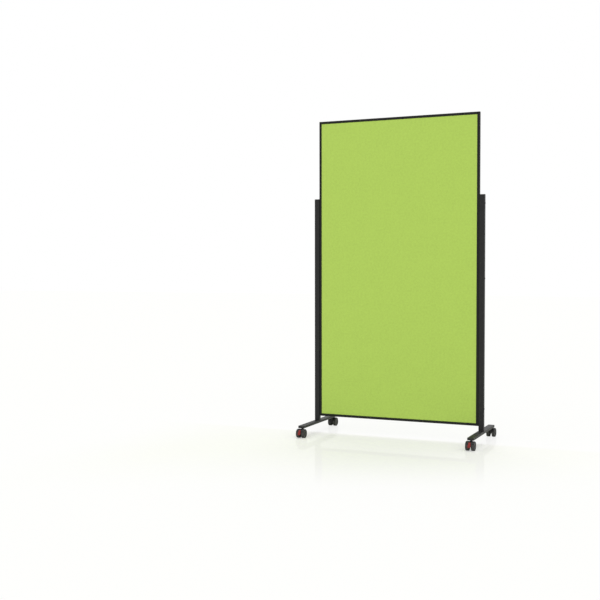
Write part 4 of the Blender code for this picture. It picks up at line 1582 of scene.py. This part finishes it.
@dataclass(frozen=True)
class Lamp:
    """A far soft lamp: the way it shines, its spread in degrees and its strength."""

    name: str
    towards: Triple
    spread: float
    strength: float

    def hang(self) -> None:
        """Add the lamp."""
        data = bpy.data.lights.new(self.name, "SUN")
        data.angle = math.radians(self.spread)
        data.energy = self.strength
        turn = Vector(self.towards).to_track_quat("-Z", "Y").to_euler()
        added(self.name, data).rotation_euler = turn


@dataclass
class Studio:
    """A pale floor, soft lamps and the camera of the picture.

    The floor is lit to a warm white. What the camera sees of it is mostly plain white, and
    in a share that grows just before the board, the lit floor with its shadow. That nearness
    and a faint gloss both fade out with the distance from a line through the board's foot,
    along which y is slant times x.
    """

    frame_pixels: int = 600
    focal_pixels: float = 944.6
    principal: Point = (336.08, 300.48)
    camera_place: Triple = (1.8536, -5.3075, 1.000)
    camera_yaw: float = 22.94
    camera_pitch: float = -1.875
    sensor: float = 36.0
    sky: float = 0.75
    floor_size: float = 60.0
    floor_white: Triple = (0.91, 0.915, 0.84)
    floor_roughness: float = 0.9
    slant: float = 0.42
    lit_share: Point = (0.16, 0.61)
    lit_start: Point = (0.02, -0.06)
    lit_end: Point = (-1.55, -0.28)
    lit_side: Point = (1.70, 0.90)
    gloss: float = 0.065
    gloss_roughness: float = 0.04
    gloss_end: Point = (1.50, 0.75)
    lamps: tuple[Lamp, ...] = (Lamp("overhead", (-0.30, 0.45, -1.0), 70.0, 0.55),
                               Lamp("front", (-0.55, 1.0, -0.35), 60.0, 0.35),
                               Lamp("behind", (0.20, -0.58, -1.0), 36.0, 0.55))

    def camera(self) -> None:
        """Put the camera where the picture was taken from."""
        data = bpy.data.cameras.new("camera")
        data.sensor_width = self.sensor
        data.lens = self.focal_pixels * self.sensor / self.frame_pixels
        data.shift_x = (self.frame_pixels / 2 - self.principal[0]) / self.frame_pixels
        data.shift_y = (self.principal[1] - self.frame_pixels / 2) / self.frame_pixels
        made = added("camera", data)
        made.location = self.camera_place
        made.rotation_euler = (math.radians(90.0 + self.camera_pitch), 0.0, math.radians(self.camera_yaw))
        bpy.context.scene.camera = made

    def world(self) -> None:
        """Light softly from all round, and show white behind and in reflections."""
        made = bpy.data.worlds.new("studio")
        made.use_nodes = True
        graph = Nodes(made.node_tree)
        light, end = graph.tree.nodes["Background"], graph.tree.nodes["World Output"]
        graph.fill(light, {"Color": WHITE, "Strength": self.sky})
        white = graph.node("ShaderNodeBackground", {"Color": WHITE})
        shown = graph.blend(graph.seen_by("Camera", "Glossy", "Transmission"), light, white)
        graph.fill(end, {"Surface": shown.outputs[0]})
        bpy.context.scene.world = made

    def floor(self) -> None:
        """Lay the floor."""
        half = self.floor_size / 2
        mesh = bpy.data.meshes.new("studio_floor")
        mesh.from_pydata([(-half, -half, 0.0), (half, -half, 0.0), (half, half, 0.0), (-half, half, 0.0)],
                         [], [(0, 1, 2, 3)])
        on = Surface("studio_floor_white")
        on.fill(on.shader, {"Base Color": self.floor_white, "Roughness": self.floor_roughness,
                            "Specular IOR Level": 0.0})
        x, y, _ = on.axes()
        behind, before = self.lit_share
        away = y - self.slant * x
        near = y.between(*self.lit_start) * away.between(*self.lit_end) * abs(x).between(*self.lit_side)
        plain = on.seen_by("Camera") * (1.0 - behind - near * (before - behind))
        pale = on.blend(plain, on.shader, on.node("ShaderNodeEmission", {"Color": WHITE}))
        gloss = on.node("ShaderNodeBsdfGlossy", {"Roughness": self.gloss_roughness, "Color": WHITE})
        shown = on.blend(abs(away).between(*self.gloss_end) * self.gloss, pale, gloss)
        on.fill(on.tree.nodes["Material Output"], {"Surface": shown.outputs[0]})
        mesh.materials.append(on.made)
        added("studio_floor", mesh)

    def build(self) -> None:
        """Set the studio up."""
        bpy.context.scene.view_settings.view_transform = "Standard"
        self.camera()
        self.world()
        self.floor()
        for lamp in self.lamps:
            lamp.hang()


def main() -> None:
    """Dress the pinboard, piece by piece."""
    logging.basicConfig(level=logging.INFO, format="%(name)s: %(message)s")
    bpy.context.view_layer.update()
    for part in (Studio(), Board(), Posts(), BaseBars(), Fasteners(), Casters(Caster())):
        log.info("%s", type(part).__name__)
        part.build()


if __name__ == "__main__":
    main()
